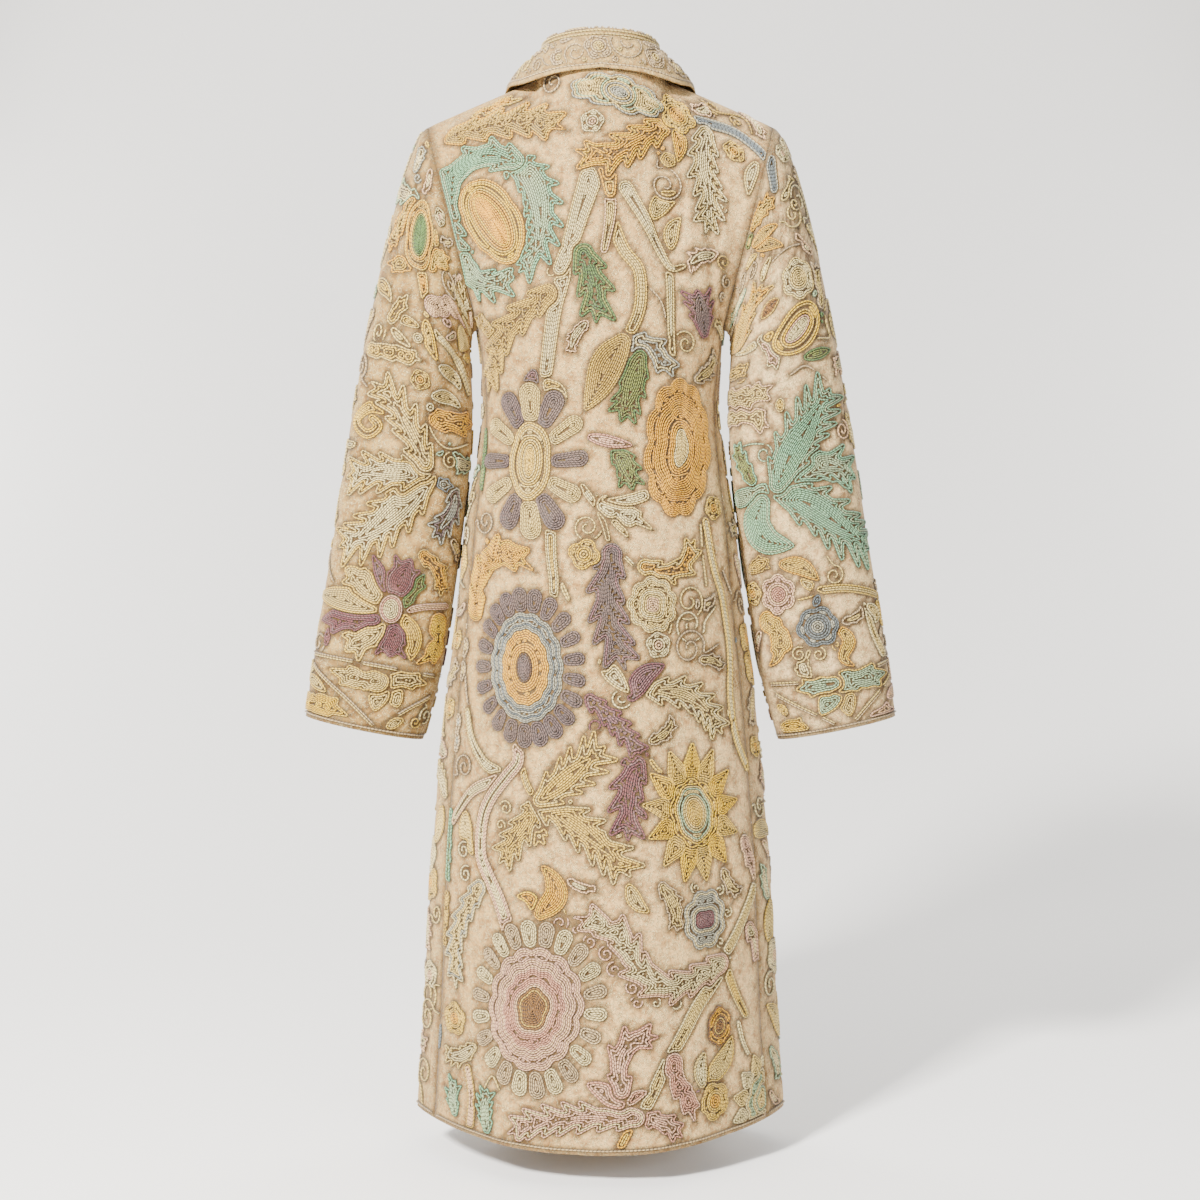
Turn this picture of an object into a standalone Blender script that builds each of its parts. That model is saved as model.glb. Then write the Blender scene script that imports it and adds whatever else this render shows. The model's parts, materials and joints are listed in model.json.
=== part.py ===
"""A long embroidered coat with a turned-down collar, worn and filled out with no wearer.

Metres, +Z up. The front faces -Y. The origin lies midway between the two neck points,
at the height of the shoulder seams, where a wearer's shoulders carry the coat.
Every cloth piece is a wall of even thickness whose outer face follows the garment's
outline; neighbouring pieces stand a seam gap apart.
"""

import math

import bpy
import numpy as np

# Cloth and seams
WALL = 0.002  # embroidered cotton with its backing
SEAM_GAP = 0.0003
COLLAR_WALL = 0.0022

# Key heights and widths of the cut
UNDERARM_Z = -0.262
SHOULDER_POINT_X = 0.182
SHOULDER_POINT_Z = -0.046
HEM_Z = -1.0810
HEM_DIP = 0.012  # how much lower the hem hangs at centre back and front
HEM_DIP_RISE = 0.30  # height over which that dip fades out
FRONT_GAP_TOP = 0.0020  # half the gap between the two front edges at the neck
FRONT_GAP_HEM = 0.0075  # and at the hem

# Neck seam, an oval that drops towards the front
NECK_HALF = 0.068
NECK_BACK = 0.056
NECK_FRONT = 0.066
NECK_POINT_Z = 0.004
NECK_BACK_RISE = 0.003  # how much higher than the neck points the centre back lies
NECK_FRONT_DROP = 0.079  # and how much lower the centre front

# The yoke, from the underarm up to the neck and shoulder seams
DOME_POWER = 2.6  # how late the yoke rounds over to the shoulder seam
NECK_LIFT_POWER = 9.0  # how late the cloth turns up to the neck seam
ROW_CROWDING = 1.7  # rows crowd towards the seams at the top
ARMHOLE_BACK_BULGE = 0.047  # how deep the armhole's oval is behind the side seam
ARMHOLE_FRONT_BULGE = 0.047
ARMHOLE_LOW_ROUNDING = 0.9  # the smaller, the blunter the oval's end
ARMHOLE_TOP_ROUNDING = 0.5
BULGE_SPREAD = 3.0  # how fast the bulge dies away towards the centre line

# Body sections from the underarm down. The side bend says how pointed the section's
# sides are: 1 is an ellipse. The seam angle is measured from centre back.
SECTION_COLUMNS = ("z", "half", "back", "front", "side_bend", "seam_deg")
SECTIONS = [
    (-0.262, 0.1300, 0.100, 0.126, 0.95, 82.0),
    (-0.300, 0.1258, 0.094, 0.120, 0.95, 78.0),
    (-0.339, 0.1245, 0.088, 0.108, 1.00, 74.0),
    (-0.400, 0.1310, 0.092, 0.104, 1.05, 70.0),
    (-0.466, 0.1420, 0.104, 0.110, 1.10, 67.0),
    (-0.551, 0.1505, 0.114, 0.118, 1.20, 66.0),
    (-0.636, 0.1617, 0.119, 0.124, 1.30, 65.0),
    (-0.721, 0.1707, 0.123, 0.129, 1.38, 64.0),
    (-0.806, 0.1776, 0.127, 0.133, 1.44, 64.0),
    (-0.890, 0.1830, 0.131, 0.137, 1.50, 63.0),
    (-0.975, 0.1870, 0.135, 0.141, 1.55, 63.0),
    (-1.090, 0.1947, 0.141, 0.147, 1.60, 63.0),
]

# Soft folds of the body, each along a middle line. A negative depth is a trough.
BODY_FOLDS = [
    # face, x and z at the top, x and z at the low end, width, depth
    ("back", -0.094, -0.075, -0.108, -0.300, 0.011, 0.0040),
    ("back", -0.070, -0.090, -0.080, -0.290, 0.012, -0.0022),
    ("back", -0.122, -0.110, -0.118, -0.290, 0.010, -0.0024),
    ("back", 0.104, -0.095, 0.112, -0.300, 0.013, 0.0036),
    ("back", 0.078, -0.110, 0.086, -0.280, 0.013, -0.0018),
    ("back", -0.042, -0.520, -0.058, -1.200, 0.024, 0.0030),
    ("back", 0.070, -0.560, 0.100, -1.200, 0.026, 0.0026),
    ("back", 0.018, -0.640, 0.024, -1.200, 0.028, -0.0022),
    ("back", -0.100, -0.600, -0.138, -1.200, 0.022, -0.0026),
    ("front", -0.096, -0.100, -0.092, -0.330, 0.016, 0.0034),
    ("front", 0.098, -0.110, 0.096, -0.320, 0.016, 0.0034),
    ("front", -0.060, -0.540, -0.088, -1.200, 0.026, 0.0034),
    ("front", 0.064, -0.580, 0.094, -1.200, 0.026, 0.0034),
    ("front", -0.112, -0.500, -0.150, -1.200, 0.022, -0.0028),
    ("front", 0.114, -0.520, 0.152, -1.200, 0.022, -0.0028),
]
FOLD_FADE = 0.10  # length over which each end of a fold dies away

# Sleeve sections down the arm, at the wearer's left (+X). The ring's own width runs
# from its inner to its outer point, and its depth runs front to back.
SLEEVE_COLUMNS = ("in_x", "in_z", "out_x", "out_z", "mid_y", "depth")
SLEEVE_SECTIONS = [
    (0.1375, -0.2960, 0.2480, -0.274, 0.005, 0.0545),
    (0.1355, -0.3450, 0.2570, -0.322, 0.005, 0.0520),
    (0.1380, -0.4000, 0.2665, -0.377, 0.003, 0.0500),
    (0.1440, -0.4560, 0.2755, -0.432, -0.001, 0.0490),
    (0.1520, -0.5150, 0.2850, -0.490, -0.007, 0.0480),
    (0.1615, -0.5750, 0.2960, -0.549, -0.014, 0.0470),
    (0.1730, -0.6340, 0.3065, -0.608, -0.021, 0.0460),
    (0.1905, -0.6955, 0.3165, -0.670, -0.029, 0.0450),
]
CAP_OUT_LOW = 0.030  # how far the sleeve stands out before it turns down, at the underarm
CAP_OUT_TOP = 0.064  # and at the shoulder
CAP_DOWN_LOW = 0.045
CAP_DOWN_TOP = 0.190
SLEEVE_CAP_ROWS = 6
SLEEVE_FOLDS = [
    # turn round the arm (0 at the back), top z, low z, slant, width, depth
    (-22.0, -0.20, -0.40, 18.0, 12.0, 0.0036),
    (16.0, -0.24, -0.44, 14.0, 11.0, -0.0024),
    (170.0, -0.36, -0.50, -16.0, 16.0, 0.0034),
    (196.0, -0.39, -0.53, -14.0, 14.0, -0.0028),
    (-8.0, -0.44, -0.62, 10.0, 16.0, 0.0022),
]

# Collar, in one: a stand that rolls over, and a leaf that lies out over the shoulders
STAND_COLUMNS = ("turn", "height", "lean")
STAND = [
    (0, 0.0330, 0.0045),
    (45, 0.0330, 0.0100),
    (90, 0.0325, 0.0165),
    (135, 0.0280, 0.0120),
    (180, 0.0220, 0.0060),
]
ROLL_RADIUS = 0.0048
ROLL_DROP = 0.0040  # how far the roll comes down outside before the leaf runs out
LEAF_COLUMNS = ("turn", "x", "y", "z", "bulge")
LEAF_EDGE = [
    (0, 0.0000, 0.0725, 0.0010, 0.0025),
    (30, 0.0430, 0.0670, -0.0030, 0.0025),
    (60, 0.0800, 0.0440, -0.0090, 0.0025),
    (90, 0.0985, 0.0030, -0.0058, 0.0030),
    (120, 0.1000, -0.0420, -0.0230, 0.0060),
    (145, 0.0850, -0.0860, -0.0600, 0.0110),
    (165, 0.0640, -0.1080, -0.0930, 0.0115),
    (180, 0.0450, -0.1150, -0.1100, 0.0105),
]

# Mesh density
BODY_ROWS = 21
YOKE_ROWS = 11
NECK_COLUMNS = 8
SHOULDER_COLUMNS = 9
NECK_SHARE = 0.30  # share of a panel's half width that ends in the neck seam
SLEEVE_ROWS = 15
LEAF_ROWS = 5

CLOTH_COLOURS = {"back": (0.60, 0.50, 0.37, 1), "front": (0.58, 0.49, 0.37, 1)}
SLEEVE_COLOUR = (0.59, 0.49, 0.36, 1)
COLLAR_COLOUR = (0.64, 0.54, 0.39, 1)


def unit(vectors):
    """Vectors scaled to length 1."""
    return vectors / np.maximum(np.linalg.norm(vectors, axis=-1, keepdims=True), 1e-12)


def curve_through(rows, column, at):
    """A smooth curve through one column of a table, read at places along its first column.
    A column of 0 gives the places themselves."""
    table = np.array([[row[0], row[column]] for row in rows], float)
    table = table[np.argsort(table[:, 0])]
    xs, ys = table[:, 0], table[:, 1]
    slopes = np.gradient(ys, xs)
    at = np.clip(np.asarray(at, float), xs[0], xs[-1])
    i = np.clip(np.searchsorted(xs, at) - 1, 0, len(xs) - 2)
    step = xs[i + 1] - xs[i]
    t = (at - xs[i]) / step
    return (
        ys[i] * (1 + 2 * t) * (1 - t) ** 2
        + slopes[i] * step * t * (1 - t) ** 2
        + ys[i + 1] * t * t * (3 - 2 * t)
        + slopes[i + 1] * step * t * t * (t - 1)
    )


def section(name, z):
    return curve_through(SECTIONS, SECTION_COLUMNS.index(name), z)


def ring_point(turn, z):
    """A point of the body below the underarm, turn radians round from centre back."""
    bend = section("side_bend", z)
    reach = np.where(np.cos(turn) > 0, section("back", z), -section("front", z))
    x = section("half", z) * np.sin(turn)
    y = reach * np.abs(np.cos(turn)) ** bend
    low = np.clip((HEM_Z + HEM_DIP_RISE - z) / HEM_DIP_RISE, 0, 1)
    return np.stack([x, y, z - HEM_DIP * low * low * np.cos(turn) ** 2], axis=-1)


def neck_point(turn):
    """A point of the neck seam, turn radians round from centre back."""
    reach = np.where(np.cos(turn) > 0, NECK_BACK, NECK_FRONT)
    height = np.where(np.cos(turn) > 0, NECK_BACK_RISE, -NECK_FRONT_DROP) * np.cos(turn) ** 2
    return np.stack([NECK_HALF * np.sin(turn), reach * np.cos(turn), NECK_POINT_Z + height], axis=-1)


def front_gap(z):
    """Half the gap between the two front edges at a height."""
    share = np.clip((z + NECK_FRONT_DROP) / (HEM_Z + NECK_FRONT_DROP), 0, 1)
    return FRONT_GAP_TOP + (FRONT_GAP_HEM - FRONT_GAP_TOP) * share**1.5


def seam_turn(z):
    return np.radians(section("seam_deg", z))


def skirt_point(across, z, is_back):
    """Below the underarm: across runs from the centre line (0) to the side seam (1)."""
    if is_back:
        return ring_point(across * seam_turn(z), z)
    centre = np.pi - np.arcsin(front_gap(z) / section("half", z))
    return ring_point(centre + across * (seam_turn(z) - centre), z)


def top_edge(across, is_back):
    """The neck seam and then the shoulder seam, from the centre line to the shoulder point."""
    inner = np.clip(across / NECK_SHARE, 0, 1)
    if is_back:
        neck = neck_point(inner * np.pi / 2)
    else:
        start = np.pi - np.arcsin(FRONT_GAP_TOP / NECK_HALF)
        neck = neck_point(start + inner * (np.pi / 2 - start))
    outer = np.clip((across - NECK_SHARE) / (1 - NECK_SHARE), 0, 1)[..., None]
    shoulder = np.array([SHOULDER_POINT_X, 0.0, SHOULDER_POINT_Z])
    seam = neck_point(np.float64(np.pi / 2)) * (1 - outer) + shoulder * outer
    return np.where(outer > 0, seam, neck)


def rounded_top(across, is_back):
    """A smooth stand-in for the top edge, which shapes all but the last of the yoke."""
    centre = top_edge(np.float64(0.0), is_back)
    side = np.array([SHOULDER_POINT_X, 0.0, SHOULDER_POINT_Z])
    x = centre[0] + (side[0] - centre[0]) * across**0.85
    y = centre[1] * (1 - across) ** 2.5
    z = centre[2] * (1 - across) ** 4 + side[2] * across**1.5
    return np.stack([x, y, z], axis=-1)


def yoke_point(across, climb, is_back):
    """Above the underarm: climb runs from the underarm (0) to the neck and shoulder seams (1)."""
    start = skirt_point(across, np.float64(UNDERARM_Z), is_back)
    end = rounded_top(across, is_back)
    height = 1 - (1 - climb) ** ROW_CROWDING
    inward = np.sqrt(np.clip(1 - height**DOME_POWER, 0, 1))
    bulge = ARMHOLE_BACK_BULGE if is_back else -ARMHOLE_FRONT_BULGE
    arc = height**ARMHOLE_LOW_ROUNDING * (1 - height) ** ARMHOLE_TOP_ROUNDING
    widest = ARMHOLE_LOW_ROUNDING / (ARMHOLE_LOW_ROUNDING + ARMHOLE_TOP_ROUNDING)
    arc = arc / (widest**ARMHOLE_LOW_ROUNDING * (1 - widest) ** ARMHOLE_TOP_ROUNDING)
    x = start[..., 0] + (end[..., 0] - start[..., 0]) * height
    y = end[..., 1] + (start[..., 1] - end[..., 1]) * inward + bulge * arc * across**BULGE_SPREAD
    z = start[..., 2] + (end[..., 2] - start[..., 2]) * height
    lift = (height**NECK_LIFT_POWER)[..., None]
    return np.stack([x, y, z], axis=-1) + lift * (top_edge(across, is_back) - end)


def armhole_point(climb, is_back):
    """A point of the armhole, from the underarm (climb 0) to the shoulder point (climb 1)."""
    return yoke_point(np.ones_like(climb), climb, is_back)


def fold_depth(folds, x, z):
    """How far the folds of one face push the cloth out at a place."""
    total = np.zeros_like(x)
    for top_x, top_z, low_x, low_z, width, depth in folds:
        t = (top_z - z) / (top_z - low_z)
        middle = top_x + (low_x - top_x) * t
        ends = np.clip((top_z - z) / FOLD_FADE, 0, 1) * np.clip((z - low_z) / FOLD_FADE, 0, 1)
        ends = ends * ends * (3 - 2 * ends)
        total += depth * ends * np.exp(-(((x - middle) / width) ** 2))
    return total


def grid_normals(grid, wraps=False):
    """Unit normals of a grid of points, pointing to the side where columns cross rows."""
    if wraps:
        padded = np.concatenate([grid[:, -1:], grid, grid[:, :1]], axis=1)
        across = (padded[:, 2:] - padded[:, :-2]) / 2
    else:
        across = np.gradient(grid, axis=1)
    return unit(np.cross(across, np.gradient(grid, axis=0)))


def softened(normals, passes=3):
    """Normals evened out over the grid, its edges kept, so that the wall's inside stays smooth."""
    for _ in range(passes):
        middle = normals[1:-1, 1:-1] * 2 + normals[:-2, 1:-1] + normals[2:, 1:-1]
        middle = middle + normals[1:-1, :-2] + normals[1:-1, 2:]
        normals = normals.copy()
        normals[1:-1, 1:-1] = unit(middle)
    return normals


def panel_grids():
    """Outer points and normals of the body at +X, for the back and the front, hem row first."""
    inner = np.linspace(0, NECK_SHARE, NECK_COLUMNS + 1)
    outer = np.linspace(NECK_SHARE, 1, SHOULDER_COLUMNS + 1)[1:]
    across = np.concatenate([inner, outer])
    heights = np.linspace(HEM_Z, UNDERARM_Z, BODY_ROWS + 1)[:-1]
    climbs = np.linspace(0, 1, YOKE_ROWS + 1)
    grids = {}
    for is_back in (True, False):
        s, z = np.meshgrid(across, heights)
        skirt = skirt_point(s, z, is_back)
        s, climb = np.meshgrid(across, climbs)
        grids[is_back] = np.concatenate([skirt, yoke_point(s, climb, is_back)])
    normals = {True: -grid_normals(grids[True]), False: grid_normals(grids[False])}
    # The two panels share one direction along the side seam and along the shoulder seam.
    side = unit(normals[True][:BODY_ROWS, -1] + normals[False][:BODY_ROWS, -1])
    top = unit(normals[True][-1, NECK_COLUMNS:] + normals[False][-1, NECK_COLUMNS:])
    for direction in normals.values():
        direction[:BODY_ROWS, -1] = side
        direction[-1, NECK_COLUMNS:] = top
    return grids, normals


def mirrored(points):
    return points * np.array([-1.0, 1.0, 1.0])


def folded(points, normals, face, seam_columns):
    """The panel's points pushed along their normals by the folds of that face."""
    rows = [row[1:] for row in BODY_FOLDS if row[0] == face]
    push = fold_depth(rows, points[..., 0], points[..., 2])
    fade = np.ones(points.shape[1])
    fade[seam_columns] = 0.0
    push[-3:] = 0.0
    return points + normals * (push * fade)[..., None]


def pulled_in(grid, edges, amount):
    """The grid with the named edges moved towards their neighbours, to leave a seam gap."""
    out = grid.copy()
    for edge in edges:
        line, beside = {"first": (0, 1), "last": (-1, -2)}[edge[1]]
        if edge[0] == "column":
            out[:, line] += unit(grid[:, beside] - grid[:, line]) * amount
        else:
            out[line] += unit(grid[beside] - grid[line]) * amount
    return out


def wall_mesh(name, outer, inner, colour, wraps=False):
    """A closed wall between two grids of points whose rows and columns match."""
    rows, columns = outer.shape[:2]
    points = np.concatenate([outer.reshape(-1, 3), inner.reshape(-1, 3)])
    shift = rows * columns
    faces = []
    last = columns if wraps else columns - 1
    for r in range(rows - 1):
        for c in range(last):
            d = (c + 1) % columns
            a, b, e, f = r * columns + c, r * columns + d, (r + 1) * columns + d, (r + 1) * columns + c
            faces.append((a, b, e, f))
            faces.append((shift + f, shift + e, shift + b, shift + a))
    for c in range(last):
        d = (c + 1) % columns
        faces.append((shift + c, shift + d, d, c))
        top = (rows - 1) * columns
        faces.append((top + c, top + d, shift + top + d, shift + top + c))
    if not wraps:
        for r in range(rows - 1):
            a, b = r * columns, (r + 1) * columns
            faces.append((a, b, shift + b, shift + a))
            a, b = a + columns - 1, b + columns - 1
            faces.append((shift + a, shift + b, b, a))
    mesh = bpy.data.meshes.new(name)
    mesh.from_pydata(points.tolist(), [], faces)
    mesh.update()
    mesh.shade_smooth()
    mesh.set_sharp_from_angle(angle=math.radians(50))
    mesh.materials.append(cloth_material(name, colour))
    piece = bpy.data.objects.new(name, mesh)
    bpy.context.scene.collection.objects.link(piece)
    return piece


def cloth_material(name, colour):
    material = bpy.data.materials.new(f"{name}_cloth")
    material.use_nodes = True
    shader = material.node_tree.nodes["Principled BSDF"]
    shader.inputs["Base Color"].default_value = colour
    shader.inputs["Roughness"].default_value = 0.85
    shader.inputs["Metallic"].default_value = 0.0
    return material


def settle_edges(panel_normals, sleeve, sleeve_normals, leaving):
    """Wall directions along the armhole and the neck seam, so that no walls cross there."""
    along = np.roll(sleeve[-1], -1, axis=0) - np.roll(sleeve[-1], 1, axis=0)
    sleeve_normals[-1] = unit(np.cross(along, leaving))
    around = 2 * YOKE_ROWS
    for k in range(YOKE_ROWS + 1):
        row = BODY_ROWS + k
        places = {True: k, False: (around - k) % around}
        if places[True] == places[False] or k == YOKE_ROWS:
            common = unit(panel_normals[True][row, -1] + panel_normals[False][row, -1])
            panel_normals[True][row, -1] = panel_normals[False][row, -1] = common
        for panel, place in places.items():
            normal = panel_normals[panel][row, -1]
            outward = min(float(normal @ leaving[place]), 0.0)
            panel_normals[panel][row, -1] = unit(normal - outward * leaving[place])
    turns = {True: np.linspace(0, math.pi / 2, NECK_COLUMNS + 1), False: front_neck_turns()}
    for panel, normals in panel_normals.items():
        normals[-1, : NECK_COLUMNS + 1] = collar_frame(turns[panel])[2]
        panel_normals[panel] = softened(normals)


def make_body(grids, normals):
    """The back and the two fronts."""
    back = np.concatenate([mirrored(grids[True][:, :0:-1]), grids[True]], axis=1)
    back_normals = np.concatenate([mirrored(normals[True][:, :0:-1]), normals[True]], axis=1)
    back = folded(back, back_normals, "back", [0, -1])
    half_gap = SEAM_GAP / 2
    inner = back - WALL * back_normals
    edges = [("column", "first"), ("column", "last"), ("row", "last")]
    outer, inner = pulled_in(back, edges, half_gap), pulled_in(inner, edges, half_gap)
    # The columns are turned round, so that the faces point out.
    wall_mesh("back", outer[:, ::-1], inner[:, ::-1], CLOTH_COLOURS["back"])
    for name, side in (("front_left", 1), ("front_right", -1)):
        points = grids[False] if side > 0 else mirrored(grids[False])
        directions = normals[False] if side > 0 else mirrored(normals[False])
        points = folded(points, directions, "front", [-1])
        inner = points - WALL * directions
        edges = [("column", "last"), ("row", "last")]
        outer, inner = pulled_in(points, edges, half_gap), pulled_in(inner, edges, half_gap)
        if side < 0:
            outer, inner = outer[:, ::-1], inner[:, ::-1]
        wall_mesh(name, outer, inner, CLOTH_COLOURS["front"])


def sleeve_ring(share, turns):
    """Points of the sleeve below its head, share 0 at the biceps and 1 at the cuff.
    A turn of 0 is the back of the arm, 90 degrees its outer side, 180 the front."""
    last = len(SLEEVE_SECTIONS) - 1
    rows = [(i / last, *row) for i, row in enumerate(SLEEVE_SECTIONS)]
    value = {name: curve_through(rows, i + 1, share) for i, name in enumerate(SLEEVE_COLUMNS)}
    inner = np.stack([value["in_x"], value["mid_y"], value["in_z"]], axis=-1)
    outer = np.stack([value["out_x"], value["mid_y"], value["out_z"]], axis=-1)
    centre, reach = (inner + outer) / 2, (outer - inner) / 2
    deep = np.stack([np.zeros_like(share), value["depth"], np.zeros_like(share)], axis=-1)
    return centre + reach * np.sin(turns)[..., None] + deep * np.cos(turns)[..., None]


def sleeve_start(turns):
    """The direction in which the sleeve leaves the armhole, and how far up each point lies."""
    upper = (1 + np.sin(turns)) / 2
    return unit(np.stack([np.ones_like(upper), np.zeros_like(upper), -0.25 * upper], axis=-1)), upper


def sleeve_head(share, turns):
    """Points of the sleeve head, share 0 at the armhole and 1 at the biceps."""
    is_back = np.cos(turns) >= 0
    climb = np.clip(np.where(is_back, 0.5 + turns / np.pi, 1.5 - turns / np.pi), 0, 1)
    start = np.where(is_back[..., None], armhole_point(climb, True), armhole_point(climb, False))
    end = sleeve_ring(np.zeros_like(turns), turns)
    below = sleeve_ring(np.full_like(turns, 0.02), turns)
    leaving, upper = sleeve_start(turns)
    out = leaving * (CAP_OUT_LOW + (CAP_OUT_TOP - CAP_OUT_LOW) * upper)[..., None]
    down = unit(below - end) * (CAP_DOWN_LOW + (CAP_DOWN_TOP - CAP_DOWN_LOW) * upper)[..., None]
    t = share[..., None]
    return (
        start * (1 + 2 * t) * (1 - t) ** 2
        + out * t * (1 - t) ** 2
        + end * t * t * (3 - 2 * t)
        + down * t * t * (t - 1)
    )


def sleeve_grid():
    """Outer points of the left sleeve, cuff row first, and their normals."""
    climbs = np.linspace(0, 1, YOKE_ROWS + 1)
    back_turns = (climbs - 0.5) * np.pi
    front_turns = (1.5 - climbs[1:-1][::-1]) * np.pi
    turns = np.concatenate([back_turns, front_turns])
    heads = np.linspace(0, 1, SLEEVE_CAP_ROWS + 1)[:-1]
    shares = np.linspace(0, 1, SLEEVE_ROWS + 1)
    t, s = np.meshgrid(turns, heads)
    head = sleeve_head(s, t)
    t, s = np.meshgrid(turns, shares)
    grid = np.concatenate([head, sleeve_ring(s, t)])[::-1]
    normals = -grid_normals(grid, wraps=True)
    angle = np.degrees(np.broadcast_to(turns, grid.shape[:2]))
    push = np.zeros(grid.shape[:2])
    z = grid[..., 2]
    for turn, top_z, low_z, slant, width, depth in SLEEVE_FOLDS:
        share = (top_z - z) / (top_z - low_z)
        away = (angle - (turn + slant * share) + 180) % 360 - 180
        ends = np.sin(np.pi * np.clip(share, 0, 1))
        push += depth * ends * np.exp(-((away / width) ** 2))
    return grid + normals * push[..., None], normals, sleeve_start(turns)[0]


def make_sleeves(grid, normals):
    inner = grid - WALL * normals
    edges = [("row", "last")]
    outer, inner = pulled_in(grid, edges, SEAM_GAP), pulled_in(inner, edges, SEAM_GAP)
    wall_mesh("sleeve_left", outer[:, ::-1], inner[:, ::-1], SLEEVE_COLOUR, wraps=True)
    wall_mesh("sleeve_right", mirrored(outer), mirrored(inner), SLEEVE_COLOUR, wraps=True)


def front_neck_turns():
    """Turns of the front panel's columns along the neck seam, centre front first."""
    start = math.pi - math.asin(FRONT_GAP_TOP / NECK_HALF)
    return np.linspace(start, math.pi / 2, NECK_COLUMNS + 1)


def collar_frame(turns):
    """Neck seam points, the level direction out from the neck, and up."""
    step = 1e-3
    along = unit(neck_point(turns + step) - neck_point(turns - step))
    flat = along * np.array([1.0, 1.0, 0.0])
    out = unit(np.stack([-flat[..., 1], flat[..., 0], np.zeros_like(turns)], axis=-1))
    return neck_point(turns), out, np.broadcast_to([0.0, 0.0, 1.0], out.shape)


def stand_path(turns):
    """The middle of the stand's wall: up from the neck seam, over the roll and down outside.
    Each row is a step along the wall, each column a place round the neck."""
    base, out, up = collar_frame(turns)
    place = np.degrees(np.abs(turns))
    height = curve_through(STAND, STAND_COLUMNS.index("height"), place)[..., None]
    lean = curve_through(STAND, STAND_COLUMNS.index("lean"), place)[..., None]
    path = []
    for share in (0.0, 0.33, 0.66, 1.0):
        rise = SEAM_GAP + height * share
        path.append(base + up * rise - out * (COLLAR_WALL / 2 + lean * share**1.4))
    centre = path[-1] + out * ROLL_RADIUS
    for degrees in (140, 100, 60, 20):
        a = math.radians(degrees)
        path.append(centre + out * (ROLL_RADIUS * math.cos(a)) + up * (ROLL_RADIUS * math.sin(a)))
    path.append(centre + out * (ROLL_RADIUS * 1.18) - up * ROLL_DROP)
    return np.stack(path), out, up


def collar_path(turns):
    """The middle of the collar's wall, from the neck seam over the roll to its outer edge."""
    stand, out, up = stand_path(turns)
    start = stand[-1]
    place = np.degrees(np.abs(turns))
    side = np.where(turns < 0, -1.0, 1.0)
    value = {name: curve_through(LEAF_EDGE, i, place) for i, name in enumerate(LEAF_COLUMNS)}
    edge = np.stack([value["x"] * side, value["y"], value["z"]], axis=-1)
    bulge = (out + up) * value["bulge"][..., None]
    rows = []
    for share in np.linspace(0, 1, LEAF_ROWS + 1)[1:]:
        rows.append(start * (1 - share) + edge * share + bulge * math.sin(math.pi * share))
    return np.concatenate([stand, np.stack(rows)])


def make_collar():
    half = np.concatenate([np.linspace(0, math.pi / 2, NECK_COLUMNS + 1), front_neck_turns()[-2::-1]])
    path = collar_path(np.concatenate([-half[:0:-1], half]))
    normals = grid_normals(path)
    outer, inner = path + normals * (COLLAR_WALL / 2), path - normals * (COLLAR_WALL / 2)
    wall_mesh("collar", outer, inner, COLLAR_COLOUR)


def main():
    for piece in list(bpy.data.objects):
        bpy.data.objects.remove(piece)
    panels, panel_normals = panel_grids()
    sleeve, sleeve_normals, leaving = sleeve_grid()
    settle_edges(panel_normals, sleeve, sleeve_normals, leaving)
    make_body(panels, panel_normals)
    make_sleeves(sleeve, sleeve_normals)
    make_collar()


main()
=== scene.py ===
"""Looks of a long coat embroidered all over in chain stitch, seen from behind.

The cut pieces repeat the CAD's own shape at a finer spacing. Motifs are drawn on each
piece's flat cloth as outlines, filled with rows of chain stitch that follow them, and
carried on to the worn form.
"""

import json
import math

import bmesh
import bpy
import numpy as np
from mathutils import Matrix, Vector

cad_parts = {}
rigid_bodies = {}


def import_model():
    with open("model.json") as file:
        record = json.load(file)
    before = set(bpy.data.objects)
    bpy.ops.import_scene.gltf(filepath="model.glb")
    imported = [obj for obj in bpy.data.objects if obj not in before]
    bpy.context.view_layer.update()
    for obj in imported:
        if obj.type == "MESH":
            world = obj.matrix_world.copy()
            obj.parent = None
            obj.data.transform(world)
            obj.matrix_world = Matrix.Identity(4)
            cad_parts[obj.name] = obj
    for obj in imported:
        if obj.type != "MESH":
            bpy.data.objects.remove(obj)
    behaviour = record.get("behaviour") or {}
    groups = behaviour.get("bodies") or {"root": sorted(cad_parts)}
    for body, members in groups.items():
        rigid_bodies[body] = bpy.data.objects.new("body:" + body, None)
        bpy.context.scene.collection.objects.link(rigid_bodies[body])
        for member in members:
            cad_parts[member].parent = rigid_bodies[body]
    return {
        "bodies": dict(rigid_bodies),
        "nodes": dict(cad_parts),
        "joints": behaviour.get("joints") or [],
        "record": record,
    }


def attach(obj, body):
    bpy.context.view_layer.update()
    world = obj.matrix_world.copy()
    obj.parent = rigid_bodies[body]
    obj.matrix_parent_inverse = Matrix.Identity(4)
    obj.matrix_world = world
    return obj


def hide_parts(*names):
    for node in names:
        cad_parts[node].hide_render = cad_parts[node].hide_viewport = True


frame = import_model()

# The cut, as in the CAD
SEAM_GAP = 0.0003
COLLAR_WALL = 0.0022

# Key heights and widths of the cut
UNDERARM_Z = -0.262
SHOULDER_POINT_X = 0.182
SHOULDER_POINT_Z = -0.046
HEM_Z = -1.0810
HEM_DIP = 0.012  # how much lower the hem hangs at centre back and front
HEM_DIP_RISE = 0.30  # height over which that dip fades out
FRONT_GAP_TOP = 0.0020  # half the gap between the two front edges at the neck
FRONT_GAP_HEM = 0.0075  # and at the hem

# Neck seam, an oval that drops towards the front
NECK_HALF = 0.068
NECK_BACK = 0.056
NECK_FRONT = 0.066
NECK_POINT_Z = 0.004
NECK_BACK_RISE = 0.003  # how much higher than the neck points the centre back lies
NECK_FRONT_DROP = 0.079  # and how much lower the centre front

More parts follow.
